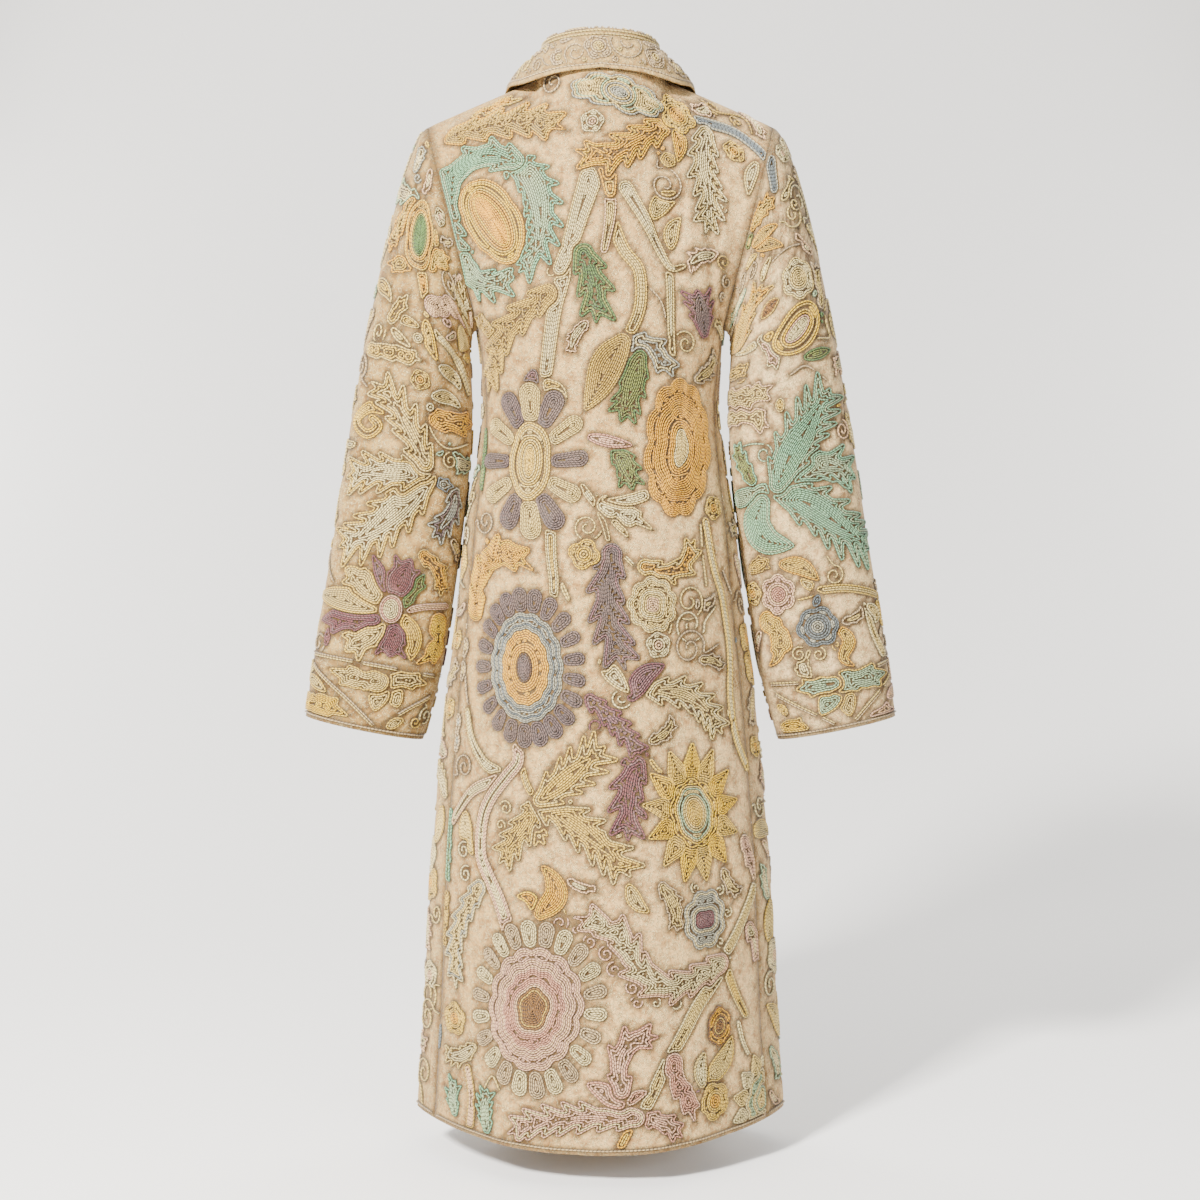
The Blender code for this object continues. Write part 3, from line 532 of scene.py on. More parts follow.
# Branches: x and y of each point, width where they start and end, colours
BRANCHES = {
    "back": [
        ((604, 156, 608, 172, 610, 192), 24, 12, "gold straw gold"),
        ((592, 174, 581, 208, 570, 244, 560, 268), 25, 15, "cream ivory"),
        ((566, 262, 561, 284, 555, 306, 550, 340, 546, 372), 17, 14, "cream ivory"),
        ((610, 190, 610, 216, 604, 250), 14, 8, "peach cream"),
        ((612, 222, 624, 250, 638, 268, 641, 292, 638, 314, 628, 336), 14, 12, "straw cream"),
        ((626, 188, 643, 216, 656, 244, 670, 268, 684, 266), 16, 6, "cream ivory"),
        ((669, 268, 670, 294, 671, 334, 674, 384), 10, 7, "cream ivory"),
        ((697, 121, 731, 131, 756, 148, 768, 162, 778, 184), 12, 13, "mist slate"),
        ((551, 506, 551, 552, 554, 584, 552, 610), 13, 9, "cream ivory straw"),
        ((553, 570, 562, 586, 569, 600), 8, 5, "cream ivory"),
        ((582, 487, 596, 506, 604, 524, 610, 548), 8, 5, "cream ivory"),
        ((583, 488, 600, 500, 620, 504), 8, 6, "cream"),
        ((705, 521, 713, 566, 722, 600, 729, 650, 730, 700, 737, 742, 752, 788), 9, 9, "straw ivory"),
        ((752, 788, 762, 830, 757, 862, 752, 892, 738, 929, 727, 950), 9, 12, "ivory cream"),
        ((727, 950, 718, 974, 698, 1005, 684, 1032, 666, 1065, 648, 1103, 640, 1118),
            17, 12, "ivory cream"),
        ((727, 972, 736, 996, 745, 1014), 11, 9, "cream straw"),
        ((738, 1022, 742, 1040, 748, 1054), 6, 5, "ivory"),
        ((518, 746, 518, 762, 508, 775, 491, 798, 483, 820, 481, 852, 487, 872, 500, 902, 512, 940),
            13, 17, "peach pink ivory"),
        ((498, 780, 474, 790, 458, 812, 446, 830), 13, 9, "peach ivory"),
        ((468, 710, 472, 738, 484, 762, 498, 772), 7, 13, "cream ivory"),
        ((523, 746, 523, 770, 529, 789, 538, 800), 6, 8, "straw cream"),
        ((648, 757, 658, 770, 672, 782), 6, 6, "straw gold"),
        ((468, 1068, 472, 1096, 470, 1130), 10, 11, "tan peach"),
        ((634, 1122, 626, 1136, 620, 1148), 9, 9, "gold straw"),
    ],
    "sleeve_left": [
        ((421, 264, 424, 290, 427, 316), 15, 7, "straw gold"),
        ((430, 327, 454, 356, 468, 392), 10, 9, "cream ivory"),
        ((386, 409, 370, 407, 357, 421, 367, 434, 379, 426, 372, 418), 14, 9, "yellow straw"),
        ((404, 611, 424, 607, 446, 606), 7, 7, "pink peach"),
    ],
    "sleeve_right": [
        ((770, 160, 772, 174, 774, 188), 13, 12, "mist slate"),
        ((778, 490, 760, 493, 740, 499), 18, 20, "mint pale_mint"),
        ((820, 590, 847, 588, 879, 594), 9, 9, "straw cream"),
        ((865, 604, 873, 632, 882, 652), 7, 11, "ivory cream"),
    ],
}

# Stems: x and y of each point, colours, rows side by side
STEMS = {
    "back": [
        ((610, 540, 628, 560, 645, 576), "cream ivory", 2),
        ((700, 524, 702, 552, 706, 586), "cream"),
        ((727, 688, 728, 716, 735, 748), "cream"),
        ((722, 570, 736, 620, 740, 640), "linen"),
        ((448, 590, 446, 640, 444, 700, 440, 760, 438, 806), "linen"),
        ((466, 676, 468, 700, 472, 720), "linen"),
        ((540, 914, 545, 908, 560, 906, 566, 914), "straw"),
        ((622, 1090, 624, 1104, 634, 1114, 642, 1116), "pink"),
        ((687, 1096, 700, 1090, 704, 1082), "mauve"),
        ((700, 100, 715, 112, 742, 118, 752, 134), "tan"),
        ((668, 330, 660, 300, 640, 280), "linen"),
        ((481, 1096, 492, 1076, 500, 1090), "cream"),
        ((552, 764, 556, 776, 566, 778), "ivory"),
    ],
    "sleeve_left": [
        ((315, 653, 375, 665, 434, 676), "cream linen", 2),
        ((311, 663, 344, 696, 376, 728), "cream linen", 2),
        ((382, 726, 406, 710, 430, 696), "cream linen", 2),
        ((434, 398, 427, 404, 430, 428, 446, 448, 468, 444), "cream"),
        ((332, 548, 330, 562, 334, 582), "linen"),
        ((436, 146, 446, 134, 456, 126), "straw"),
    ],
    "sleeve_right": [
        ((771, 684, 836, 678, 889, 660), "cream linen", 2),
        ((776, 694, 810, 712, 844, 728), "cream linen", 2),
        ((850, 726, 872, 700, 893, 673), "cream linen", 2),
        ((741, 447, 752, 444, 764, 444), "pale_mint"),
        ((796, 600, 806, 598, 818, 594), "straw"),
        ((772, 262, 784, 250, 800, 244), "linen"),
        ((790, 375, 806, 366, 826, 380), "linen"),
    ],
}

# Curls: x, y, radius, turns, start angle, direction, colour
CURLS = {
    "back": [
        (587, 527, 15, 1.8, 0, 1, "cream"),
        (621, 698, 12, 1.9, 300, 1, "ivory"),
        (506, 808, 8, 1.5, 200, 1, "cream"),
        (501, 825, 7, 1.5, 120, -1, "cream"),
        (464, 850, 9, 1.6, 300, -1, "ivory"),
        (466, 874, 9, 1.6, 300, -1, "ivory"),
        (560, 923, 10, 1.7, 240, 1, "pink"),
        (576, 929, 6, 1.4, 240, 1, "pink"),
        (590, 942, 7, 1.5, 240, -1, "pink"),
        (606, 954, 8, 1.5, 270, -1, "pink"),
        (614, 970, 8, 1.5, 270, -1, "pink"),
        (632, 988, 7, 1.5, 270, -1, "pink"),
        (637, 1003, 7, 1.5, 200, 1, "pink"),
        (656, 1003, 6, 1.4, 200, 1, "ivory"),
        (677, 1003, 8, 1.5, 270, -1, "ivory"),
        (596, 726, 8, 1.5, 60, 1, "plum"),
        (470, 131, 8, 1.5, 60, 1, "gold"),
        (695, 888, 6, 1.4, 240, -1, "ivory"),
        (719, 890, 6, 1.4, 300, 1, "ivory"),
        (727, 912, 6, 1.4, 300, 1, "ivory"),
        (720, 942, 6, 1.4, 60, 1, "ivory"),
        (456, 626, 8, 1.5, 90, -1, "linen"),
        (458, 664, 8, 1.5, 90, -1, "linen"),
        (452, 746, 7, 1.5, 90, 1, "linen"),
        (724, 262, 9, 1.5, 90, 1, "tan"),
        (726, 282, 8, 1.5, 270, -1, "linen"),
        (722, 296, 6, 1.4, 90, 1, "linen"),
        (720, 208, 7, 1.4, 0, 1, "ivory"),
        (552, 272, 8, 1.5, 60, -1, "cream"),
        (712, 108, 8, 1.5, 90, -1, "tan"),
        (736, 122, 7, 1.5, 90, 1, "tan"),
    ],
    "sleeve_left": [
        (379, 332, 10, 1.6, 0, 1, "cream"),
        (446, 322, 9, 1.6, 200, 1, "pink"),
        (450, 461, 9, 1.6, 270, -1, "cream"),
        (415, 722, 7, 1.5, 20, 1, "straw"),
        (418, 178, 6, 1.4, 20, 1, "mist"),
    ],
    "sleeve_right": [
        (799, 654, 8, 1.6, 300, -1, "cream"),
        (819, 654, 8, 1.6, 240, 1, "cream"),
        (764, 454, 10, 1.6, 270, 1, "pale_mint"),
        (842, 430, 11, 1.8, 270, 1, "peach"),
        (836, 645, 6, 1.4, 0, 1, "straw"),
        (740, 376, 8, 1.5, 20, 1, "tan"),
        (794, 204, 7, 1.4, 20, 1, "cream"),
    ],
}

# What fills the gaps that are left: kind, colours, teeth or lobes
SMALL_MOTIFS = [
    ("leaf", "cream ivory", 5),
    ("curl", "ivory", 0),
    ("leaf", "linen cream", 4),
    ("curl", "cream", 0),
    ("leaf", "straw cream", 0),
    ("knot", "ivory peach", 5),
    ("leaf", "pale_mint ivory", 4),
    ("leaf", "peach ivory", 5),
    ("curl", "linen", 0),
    ("knot", "straw gold", 5),
]
TONE_MOTIFS = [
    ("curl", "linen", 0),
    ("leaf", "linen cream", 3),
    ("curl", "cream", 0),
    ("knot", "linen cream", 5),
]

# Leaves, which are arches of a sine, with fingers that lean towards the tip
LEAF_FOOT = 0.10  # where on the arch the outline begins
LEAF_BLUNTNESS = 0.80
LEAF_CORE = 1.08  # width of the part without fingers, less their depth
FINGER_ARCH = (0.20, 0.66)  # start and length of the arch of their tips
FINGER_BLUNTNESS = 0.6
FINGER_START = 0.35  # of their spacing
FINGER_STAGGER = 0.125  # how far those of the two sides are shifted
FINGER_END = 0.6
FINGER_OUT = 0.94
FINGER_BASE = 0.50
FINGER_TIP = 0.14

# Rosettes, curls and small motifs, as shares of their reach
SCALLOP_BLUNTNESS = 0.7
PETAL_ROUNDING = 0.6
PETAL_INSET = 0.45  # the most that a petal's ends are drawn in
ROSETTE_MARGIN = 1.25
LOBE_SHIFT = 300  # how fast the lobes turn with the rosette's place
WOBBLE = 0.04
WOBBLE_SHARE = 0.35
CURL_SHRINK = 0.86
CURL_STEPS = 14  # in a turn
KNOT_MIDDLE = 0.36
KNOT_DEPTH = 0.22
SMALL_SIZE = 0.86  # of the room in the gap
SMALL_LEAF_BOW = 0.25
SMALL_LEAF_WIDTH = 0.95
SMALL_LEAF_DEPTH = 0.45
SMALL_RADIUS = 0.8
SMALL_CURL_TURNS = 1.6
SMALL_CURL_TAIL = (1.5, 0.5)

# Cloth tones, linear: a warm and a cool one for each piece
PALE_CLOTH = (0.78, 0.61, 0.32)
DEEP_CLOTH = (0.26, 0.145, 0.06)
LINE_CLOTH = (0.95, 0.81, 0.48)
SHADOW_CLOTH = (0.07, 0.04, 0.018)
THREAD_LIGHT = (0.90, 0.84, 0.66)
THREAD_FADE = (0.86, 0.70, 0.36)
# Painted shade in the grooves where chain links meet
LINK_PAINTED_SHADE = (0.24, 0.16, 0.09)
TONE_DEPTH = 1.5  # gamma that deepens the darker tones
CLOTH_TONES = {
    "back": ((0.56, 0.39, 0.16), (0.70, 0.53, 0.31)),
    "front_left": ((0.56, 0.40, 0.17), (0.65, 0.49, 0.28)),
    "front_right": ((0.56, 0.40, 0.17), (0.65, 0.49, 0.28)),
    "sleeve_left": ((0.49, 0.35, 0.14), (0.59, 0.44, 0.22)),
    "sleeve_right": ((0.60, 0.45, 0.22), (0.70, 0.55, 0.34)),
    "collar": ((0.64, 0.47, 0.20), (0.72, 0.55, 0.28)),
}
FRONT_SHIFT = -0.045  # how far up the fronts the back's motifs are moved
FRONT_SHARE = 0.02  # motifs this far past the back's centre line go to both fronts

# How the cloth's tone drifts from warm to cool
COOL_START = 0.42
COOL_ACROSS = -1.7  # a metre of x
COOL_UP = -0.22  # a metre of z
COOL_CLOUDS = 0.9

# Relief of cloth and thread
CRINKLE_WIDTH = 0.035  # how far the noise may lie from its middle on a crinkle line
CLOSE_SHADOW = 0.70  # how much the shade beside motifs darkens the cloth
THREAD_COUNT = 900.0
THREAD_STRETCH = 0.35  # how much longer than wide the weave's bumps are drawn
LINK_LEAN = 0.9  # how far a chain link's ends lean along the row
LINK_GROOVE = 0.20
PLY_LEAN = 3.0  # and the twist of its thread
PLY_PACE = 18.0

# The stage
FLOOR_Z = -1.125
BACKDROP_START = -1.2  # where the floor begins to rise
BACKDROP_RADIUS = 2.2
BACKDROP_TOP = 7.0  # above the floor
FLOOR_REACH = 6.0  # towards the camera
STAGE_HALF = 7.0
FLOOR_PAINT = (0.90, 0.89, 0.87)
WORLD_STRENGTH = 0.27
WORLD_COLOUR = (1.0, 0.99, 0.97)
MIDDLE = (0.0, 0.0, -0.55)
LIGHTS = [
    # name, place, aim, size, power, colour
    ("key", (1.5, 2.4, 1.2), MIDDLE, 0.45, 430, (1.0, 0.97, 0.93)),
    ("fill", (-1.3, 2.7, -0.1), MIDDLE, 1.4, 70, (0.97, 0.98, 1.0)),
    ("top", (0.0, 0.0, 2.2), (0.0, 0.0, 0.0), 2.5, 55, (1.0, 1.0, 1.0)),
    ("front_left_side", (2.7, -2.6, 0.4), MIDDLE, 1.2, 120, (1.0, 0.99, 0.97)),
    ("front_right_side", (-2.7, -2.6, 0.4), MIDDLE, 1.2, 70, (1.0, 0.99, 0.97)),
]


# Shapes of the cut pieces, worked out as in the CAD


def unit(vectors):
    """Vectors scaled to length 1."""
    return vectors / np.maximum(np.linalg.norm(vectors, axis=-1, keepdims=True), 1e-12)


def eased(start, leaving, end, arriving, t):
    """A smooth step from start to end with given slopes at both."""
    return (
        start * (1 + 2 * t) * (1 - t) ** 2
        + leaving * t * (1 - t) ** 2
        + end * t * t * (3 - 2 * t)
        + arriving * t * t * (t - 1)
    )


def curve_through(rows, column, at):
    """A smooth curve through one column of a table, read at places along its first column.
    A column of 0 gives the places themselves."""
    table = np.array([[row[0], row[column]] for row in rows], float)
    table = table[np.argsort(table[:, 0])]
    xs, ys = table[:, 0], table[:, 1]
    slopes = np.gradient(ys, xs)
    at = np.clip(np.asarray(at, float), xs[0], xs[-1])
    i = np.clip(np.searchsorted(xs, at) - 1, 0, len(xs) - 2)
    step = xs[i + 1] - xs[i]
    return eased(ys[i], slopes[i] * step, ys[i + 1], slopes[i + 1] * step, (at - xs[i]) / step)


def section(name, z):
    return curve_through(SECTIONS, SECTION_COLUMNS.index(name), z)


def ring_point(turn, z):
    """A point of the body below the underarm, turn radians round from centre back."""
    bend = section("side_bend", z)
    reach = np.where(np.cos(turn) > 0, section("back", z), -section("front", z))
    x = section("half", z) * np.sin(turn)
    y = reach * np.abs(np.cos(turn)) ** bend
    low = np.clip((HEM_Z + HEM_DIP_RISE - z) / HEM_DIP_RISE, 0, 1)
    return np.stack([x, y, z - HEM_DIP * low * low * np.cos(turn) ** 2], axis=-1)


def neck_point(turn):
    """A point of the neck seam, turn radians round from centre back."""
    reach = np.where(np.cos(turn) > 0, NECK_BACK, NECK_FRONT)
    height = np.where(np.cos(turn) > 0, NECK_BACK_RISE, -NECK_FRONT_DROP) * np.cos(turn) ** 2
    return np.stack([NECK_HALF * np.sin(turn), reach * np.cos(turn), NECK_POINT_Z + height], axis=-1)


def front_gap(z):
    """Half the gap between the two front edges at a height."""
    share = np.clip((z + NECK_FRONT_DROP) / (HEM_Z + NECK_FRONT_DROP), 0, 1)
    return FRONT_GAP_TOP + (FRONT_GAP_HEM - FRONT_GAP_TOP) * share**1.5


def seam_turn(z):
    return np.radians(section("seam_deg", z))


def skirt_point(across, z, is_back):
    """Below the underarm: across runs from the centre line (0) to the side seam (1)."""
    if is_back:
        return ring_point(across * seam_turn(z), z)
    centre = np.pi - np.arcsin(front_gap(z) / section("half", z))
    return ring_point(centre + across * (seam_turn(z) - centre), z)


def top_edge(across, is_back):
    """The neck seam and then the shoulder seam, from the centre line to the shoulder point."""
    inner = np.clip(across / NECK_SHARE, 0, 1)
    if is_back:
        neck = neck_point(inner * np.pi / 2)
    else:
        start = np.pi - np.arcsin(FRONT_GAP_TOP / NECK_HALF)
        neck = neck_point(start + inner * (np.pi / 2 - start))
    outer = np.clip((across - NECK_SHARE) / (1 - NECK_SHARE), 0, 1)[..., None]
    shoulder = np.array([SHOULDER_POINT_X, 0.0, SHOULDER_POINT_Z])
    seam = neck_point(np.float64(np.pi / 2)) * (1 - outer) + shoulder * outer
    return np.where(outer > 0, seam, neck)


def rounded_top(across, is_back):
    """A smooth stand-in for the top edge, which shapes all but the last of the yoke."""
    centre = top_edge(np.float64(0.0), is_back)
    side = np.array([SHOULDER_POINT_X, 0.0, SHOULDER_POINT_Z])
    x = centre[0] + (side[0] - centre[0]) * across**0.85
    y = centre[1] * (1 - across) ** 2.5
    z = centre[2] * (1 - across) ** 4 + side[2] * across**1.5
    return np.stack([x, y, z], axis=-1)


def yoke_point(across, climb, is_back):
    """Above the underarm: climb runs from the underarm (0) to the neck and shoulder seams (1)."""
    start = skirt_point(across, np.float64(UNDERARM_Z), is_back)
    end = rounded_top(across, is_back)
    height = 1 - (1 - climb) ** ROW_CROWDING
    inward = np.sqrt(np.clip(1 - height**DOME_POWER, 0, 1))
    bulge = ARMHOLE_BACK_BULGE if is_back else -ARMHOLE_FRONT_BULGE
    arc = height**ARMHOLE_LOW_ROUNDING * (1 - height) ** ARMHOLE_TOP_ROUNDING
    widest = ARMHOLE_LOW_ROUNDING / (ARMHOLE_LOW_ROUNDING + ARMHOLE_TOP_ROUNDING)
    arc = arc / (widest**ARMHOLE_LOW_ROUNDING * (1 - widest) ** ARMHOLE_TOP_ROUNDING)
    x = start[..., 0] + (end[..., 0] - start[..., 0]) * height
    y = end[..., 1] + (start[..., 1] - end[..., 1]) * inward + bulge * arc * across**BULGE_SPREAD
    z = start[..., 2] + (end[..., 2] - start[..., 2]) * height
    lift = (height**NECK_LIFT_POWER)[..., None]
    return np.stack([x, y, z], axis=-1) + lift * (top_edge(across, is_back) - end)


def armhole_point(climb, is_back):
    """A point of the armhole, from the underarm (climb 0) to the shoulder point (climb 1)."""
    return yoke_point(np.ones_like(climb), climb, is_back)


def fold_depth(folds, x, z):
    """How far the folds of one face push the cloth out at a place."""
    total = np.zeros_like(x)
    for top_x, top_z, low_x, low_z, width, depth in folds:
        t = (top_z - z) / (top_z - low_z)
        middle = top_x + (low_x - top_x) * t
        ends = np.clip((top_z - z) / FOLD_FADE, 0, 1) * np.clip((z - low_z) / FOLD_FADE, 0, 1)
        ends = ends * ends * (3 - 2 * ends)
        total += depth * ends * np.exp(-(((x - middle) / width) ** 2))
    return total


def grid_normals(grid, wraps=False):
    """Unit normals of a grid of points, pointing to the side where columns cross rows."""
    if wraps:
        padded = np.concatenate([grid[:, -1:], grid, grid[:, :1]], axis=1)
        across = (padded[:, 2:] - padded[:, :-2]) / 2
    else:
        across = np.gradient(grid, axis=1)
    return unit(np.cross(across, np.gradient(grid, axis=0)))


def mirrored(points):
    return points * np.array([-1.0, 1.0, 1.0])


def sleeve_ring(share, turns):
    """Points of the sleeve below its head, share 0 at the biceps and 1 at the cuff.
    A turn of 0 is the back of the arm, 90 degrees its outer side, 180 the front."""
    last = len(SLEEVE_SECTIONS) - 1
    rows = [(i / last, *row) for i, row in enumerate(SLEEVE_SECTIONS)]
    value = {name: curve_through(rows, i + 1, share) for i, name in enumerate(SLEEVE_COLUMNS)}
    inner = np.stack([value["in_x"], value["mid_y"], value["in_z"]], axis=-1)
    outer = np.stack([value["out_x"], value["mid_y"], value["out_z"]], axis=-1)
    centre, reach = (inner + outer) / 2, (outer - inner) / 2
    deep = np.stack([np.zeros_like(share), value["depth"], np.zeros_like(share)], axis=-1)
    return centre + reach * np.sin(turns)[..., None] + deep * np.cos(turns)[..., None]


def sleeve_start(turns):
    """The direction in which the sleeve leaves the armhole, and how far up each point lies."""
    upper = (1 + np.sin(turns)) / 2
    return unit(np.stack([np.ones_like(upper), np.zeros_like(upper), -CAP_SLOPE * upper], axis=-1)), upper


def sleeve_head(share, turns):
    """Points of the sleeve head, share 0 at the armhole and 1 at the biceps."""
    is_back = np.cos(turns) >= 0
    climb = np.clip(np.where(is_back, 0.5 + turns / np.pi, 1.5 - turns / np.pi), 0, 1)
    start = np.where(is_back[..., None], armhole_point(climb, True), armhole_point(climb, False))
    end = sleeve_ring(np.zeros_like(turns), turns)
    below = sleeve_ring(np.full_like(turns, 0.02), turns)
    leaving, upper = sleeve_start(turns)
    out = leaving * (CAP_OUT_LOW + (CAP_OUT_TOP - CAP_OUT_LOW) * upper)[..., None]
    down = unit(below - end) * (CAP_DOWN_LOW + (CAP_DOWN_TOP - CAP_DOWN_LOW) * upper)[..., None]
    return eased(start, out, end, down, share[..., None])


def collar_frame(turns):
    """Neck seam points, the level direction out from the neck, and up."""
    step = 1e-3
    along = unit(neck_point(turns + step) - neck_point(turns - step))
    flat = along * np.array([1.0, 1.0, 0.0])
    out = unit(np.stack([-flat[..., 1], flat[..., 0], np.zeros_like(turns)], axis=-1))
    return neck_point(turns), out, np.broadcast_to([0.0, 0.0, 1.0], out.shape)


def stand_path(turns, shares, roll_degrees):
    """The middle of the stand's wall: up from the neck seam, over the roll and down outside.
    Each row is a step along the wall, each column a place round the neck."""
    base, out, up = collar_frame(turns)
    place = np.degrees(np.abs(turns))
    height = curve_through(STAND, STAND_COLUMNS.index("height"), place)[..., None]
    lean = curve_through(STAND, STAND_COLUMNS.index("lean"), place)[..., None]
    path = []
    for share in shares:
        rise = SEAM_GAP + height * share
        path.append(base + up * rise - out * (COLLAR_WALL / 2 + lean * share**1.4))
    centre = path[-1] + out * ROLL_RADIUS
    for degrees in roll_degrees:
        a = math.radians(degrees)
        path.append(centre + out * (ROLL_RADIUS * math.cos(a)) + up * (ROLL_RADIUS * math.sin(a)))
    path.append(centre + out * (ROLL_RADIUS * 1.18) - up * ROLL_DROP)
    return np.stack(path), out, up


def collar_path(turns, stand_shares, roll_degrees, leaf_shares):
    """The middle of the collar's wall, from the neck seam over the roll to its outer edge."""
    stand, out, up = stand_path(turns, stand_shares, roll_degrees)
    start = stand[-1]
    place = np.degrees(np.abs(turns))
    side = np.where(turns < 0, -1.0, 1.0)
    value = {name: curve_through(LEAF_EDGE, i, place) for i, name in enumerate(LEAF_COLUMNS)}
    edge = np.stack([value["x"] * side, value["y"], value["z"]], axis=-1)
    bulge = (out + up) * value["bulge"][..., None]
    rows = []
    for share in leaf_shares:
        rows.append(start * (1 - share) + edge * share + bulge * math.sin(math.pi * share))
    return np.concatenate([stand, np.stack(rows)])


# Cut pieces of cloth


def between_cells(table, row, column):
    """A table read at places between its rows and columns."""
    row = np.clip(row, 0, table.shape[0] - 1.001)
    column = np.clip(column, 0, table.shape[1] - 1.001)
    i, j = row.astype(int), column.astype(int)
    a, b = row - i, column - j
    if table.ndim > 2:
        a, b = a[..., None], b[..., None]
    low = table[i, j] * (1 - b) + table[i, j + 1] * b
    high = table[i + 1, j] * (1 - b) + table[i + 1, j + 1] * b
    return low * (1 - a) + high * a


class Panel:
    """A cut piece of cloth: a dense grid of points and the flat coordinates on it.
    s runs across the piece and t from its top edge down, both in metres."""

    def __init__(self, name, grid, normals, s, t):
        self.name, self.grid, self.normals, self.s, self.t = name, grid, normals, s, t
        self.length = float(t[-1])
        self.s_low, self.s_high = float(s.min()), float(s.max())
        self.table_s = np.arange(self.s_low, self.s_high + FLAT_STEP, FLAT_STEP)
        self.table_t = np.arange(0.0, self.length + FLAT_STEP, FLAT_STEP)
        row = np.interp(self.table_t, t, np.arange(len(t)))
        low = np.clip(row.astype(int), 0, len(t) - 2)
        share = np.clip(row - low, 0, 1)[:, None]
        s_rows = s[low] * (1 - share) + s[low + 1] * share
        both = np.concatenate([grid, normals], axis=2)
        rows = both[low] * (1 - share[..., None]) + both[low + 1] * share[..., None]
        self.table = np.empty((len(self.table_t), len(self.table_s), 6))
        for i in range(len(self.table_t)):
            for k in range(6):
                self.table[i, :, k] = np.interp(self.table_s, s_rows[i], rows[i, :, k])
        self.table_low, self.table_high = s_rows[:, 0], s_rows[:, -1]
        self.raster_s = np.arange(self.s_low, self.s_high + CELL, CELL)
        self.raster_t = np.arange(0.0, self.length + CELL, CELL)
        self.clear = self.edge_distance(*np.meshgrid(self.raster_s, self.raster_t))
        self.rows = []  # flat points of each row of stitches, if it is closed, its width and colour

    @property
    def is_tube(self):
        return self.name.startswith("sleeve")

    def sides(self, t):
        """Where the piece's two side edges lie at flat heights."""
        return np.interp(t, self.table_t, self.table_low), np.interp(t, self.table_t, self.table_high)

    def edge_distance(self, s, t):
        """How far inside the piece's edges a flat place lies."""
        low, high = self.sides(t)
        return np.minimum(np.minimum(s - low, high - s), np.minimum(t, self.length - t))

    def place(self, s, t):
        """Points and normals of the cloth's outer face at flat places."""
        both = between_cells(self.table, t / FLAT_STEP, (s - self.s_low) / FLAT_STEP)
        return both[..., :3], unit(both[..., 3:])

    def clearance(self, s, t):
        """How far from the embroidery so far, and from the edges, flat places lie."""
        return between_cells(self.clear, t / CELL, (s - self.s_low) / CELL)


def arc_lengths(grid, axis):
    """Lengths along one axis of a grid, from its first point."""
    steps = np.linalg.norm(np.diff(grid, axis=axis), axis=-1)
    pad = [(0, 0), (0, 0)]
    pad[axis] = (1, 0)
    return np.cumsum(np.pad(steps, pad), axis=axis)


def body_rows(across, is_back):
    """Rows of body points from the top edge down to the hem."""
    climbs = np.linspace(1, 0, YOKE_CLOTH_ROWS + 1)
    heights = np.linspace(UNDERARM_Z, HEM_Z, SKIRT_CLOTH_ROWS + 1)[1:]
    a, climb = np.meshgrid(across, climbs)
    yoke = yoke_point(a, climb, is_back)
    a, z = np.meshgrid(across, heights)
    return np.concatenate([yoke, skirt_point(a, z, is_back)])


def with_folds(grid, normals, face, edge):
    """The cloth pushed out by its folds and small wrinkles. edge is 0 at a seam."""
    folds = [row[1:] for row in BODY_FOLDS + BODY_WRINKLES if row[0] == face]
    push = fold_depth(folds, grid[..., 0], grid[..., 2])
    x, z = grid[..., 0], grid[..., 2]
    push = push + CRUMPLE * np.sin(z * 61 + x * 47) * np.sin(x * 83)
    top = np.clip(np.arange(len(grid)) / TOP_EASE, 0, 1)[:, None]
    return grid + normals * (push * np.clip(edge, 0, 1) * top)[..., None]


def make_panels():
    """Every cut piece, as a Panel."""
    panels = {}
    half = np.linspace(0, 1, BODY_CLOTH_COLUMNS + 1)
    grid = body_rows(half, True)
    grid = np.concatenate([mirrored(grid[:, :0:-1]), grid], axis=1)
    across = np.concatenate([-half[:0:-1], half])
    normals = grid_normals(grid)
    grid = with_folds(grid, normals, "back", (1 - np.abs(across)) / SEAM_EASE)
    normals = grid_normals(grid)
    s = arc_lengths(grid, 1)
    middle = BODY_CLOTH_COLUMNS
    s = s - s[:, middle : middle + 1]
    panels["back"] = Panel("back", grid, normals, s, arc_lengths(grid, 0)[:, middle])
    for name, side in (("front_left", 1), ("front_right", -1)):
        grid = body_rows(half, False)
        normals = -grid_normals(grid)
        if side < 0:
            grid, normals = mirrored(grid), mirrored(normals)
        grid = with_folds(grid, normals, "front", (1 - half) / SEAM_EASE)
        normals = -grid_normals(grid) * side
        panels[name] = Panel(name, grid, normals, arc_lengths(grid, 1), arc_lengths(grid, 0)[:, 0])
    grid, normals = sleeve_cloth()
    s, t = arc_lengths(grid, 1), arc_lengths(grid, 0)[:, SLEEVE_CLOTH_COLUMNS // 4]
    panels["sleeve_left"] = Panel("sleeve_left", grid, normals, s, t)
    panels["sleeve_right"] = Panel("sleeve_right", mirrored(grid), mirrored(normals), s, t)
    grid = collar_cloth()
    s = arc_lengths(grid, 1)
    middle = s.shape[1] // 2
    s = s - s[:, middle : middle + 1]
    t = arc_lengths(grid, 0)[:, middle]
    panels["collar"] = Panel("collar", grid, grid_normals(grid), s, t)
    return panels


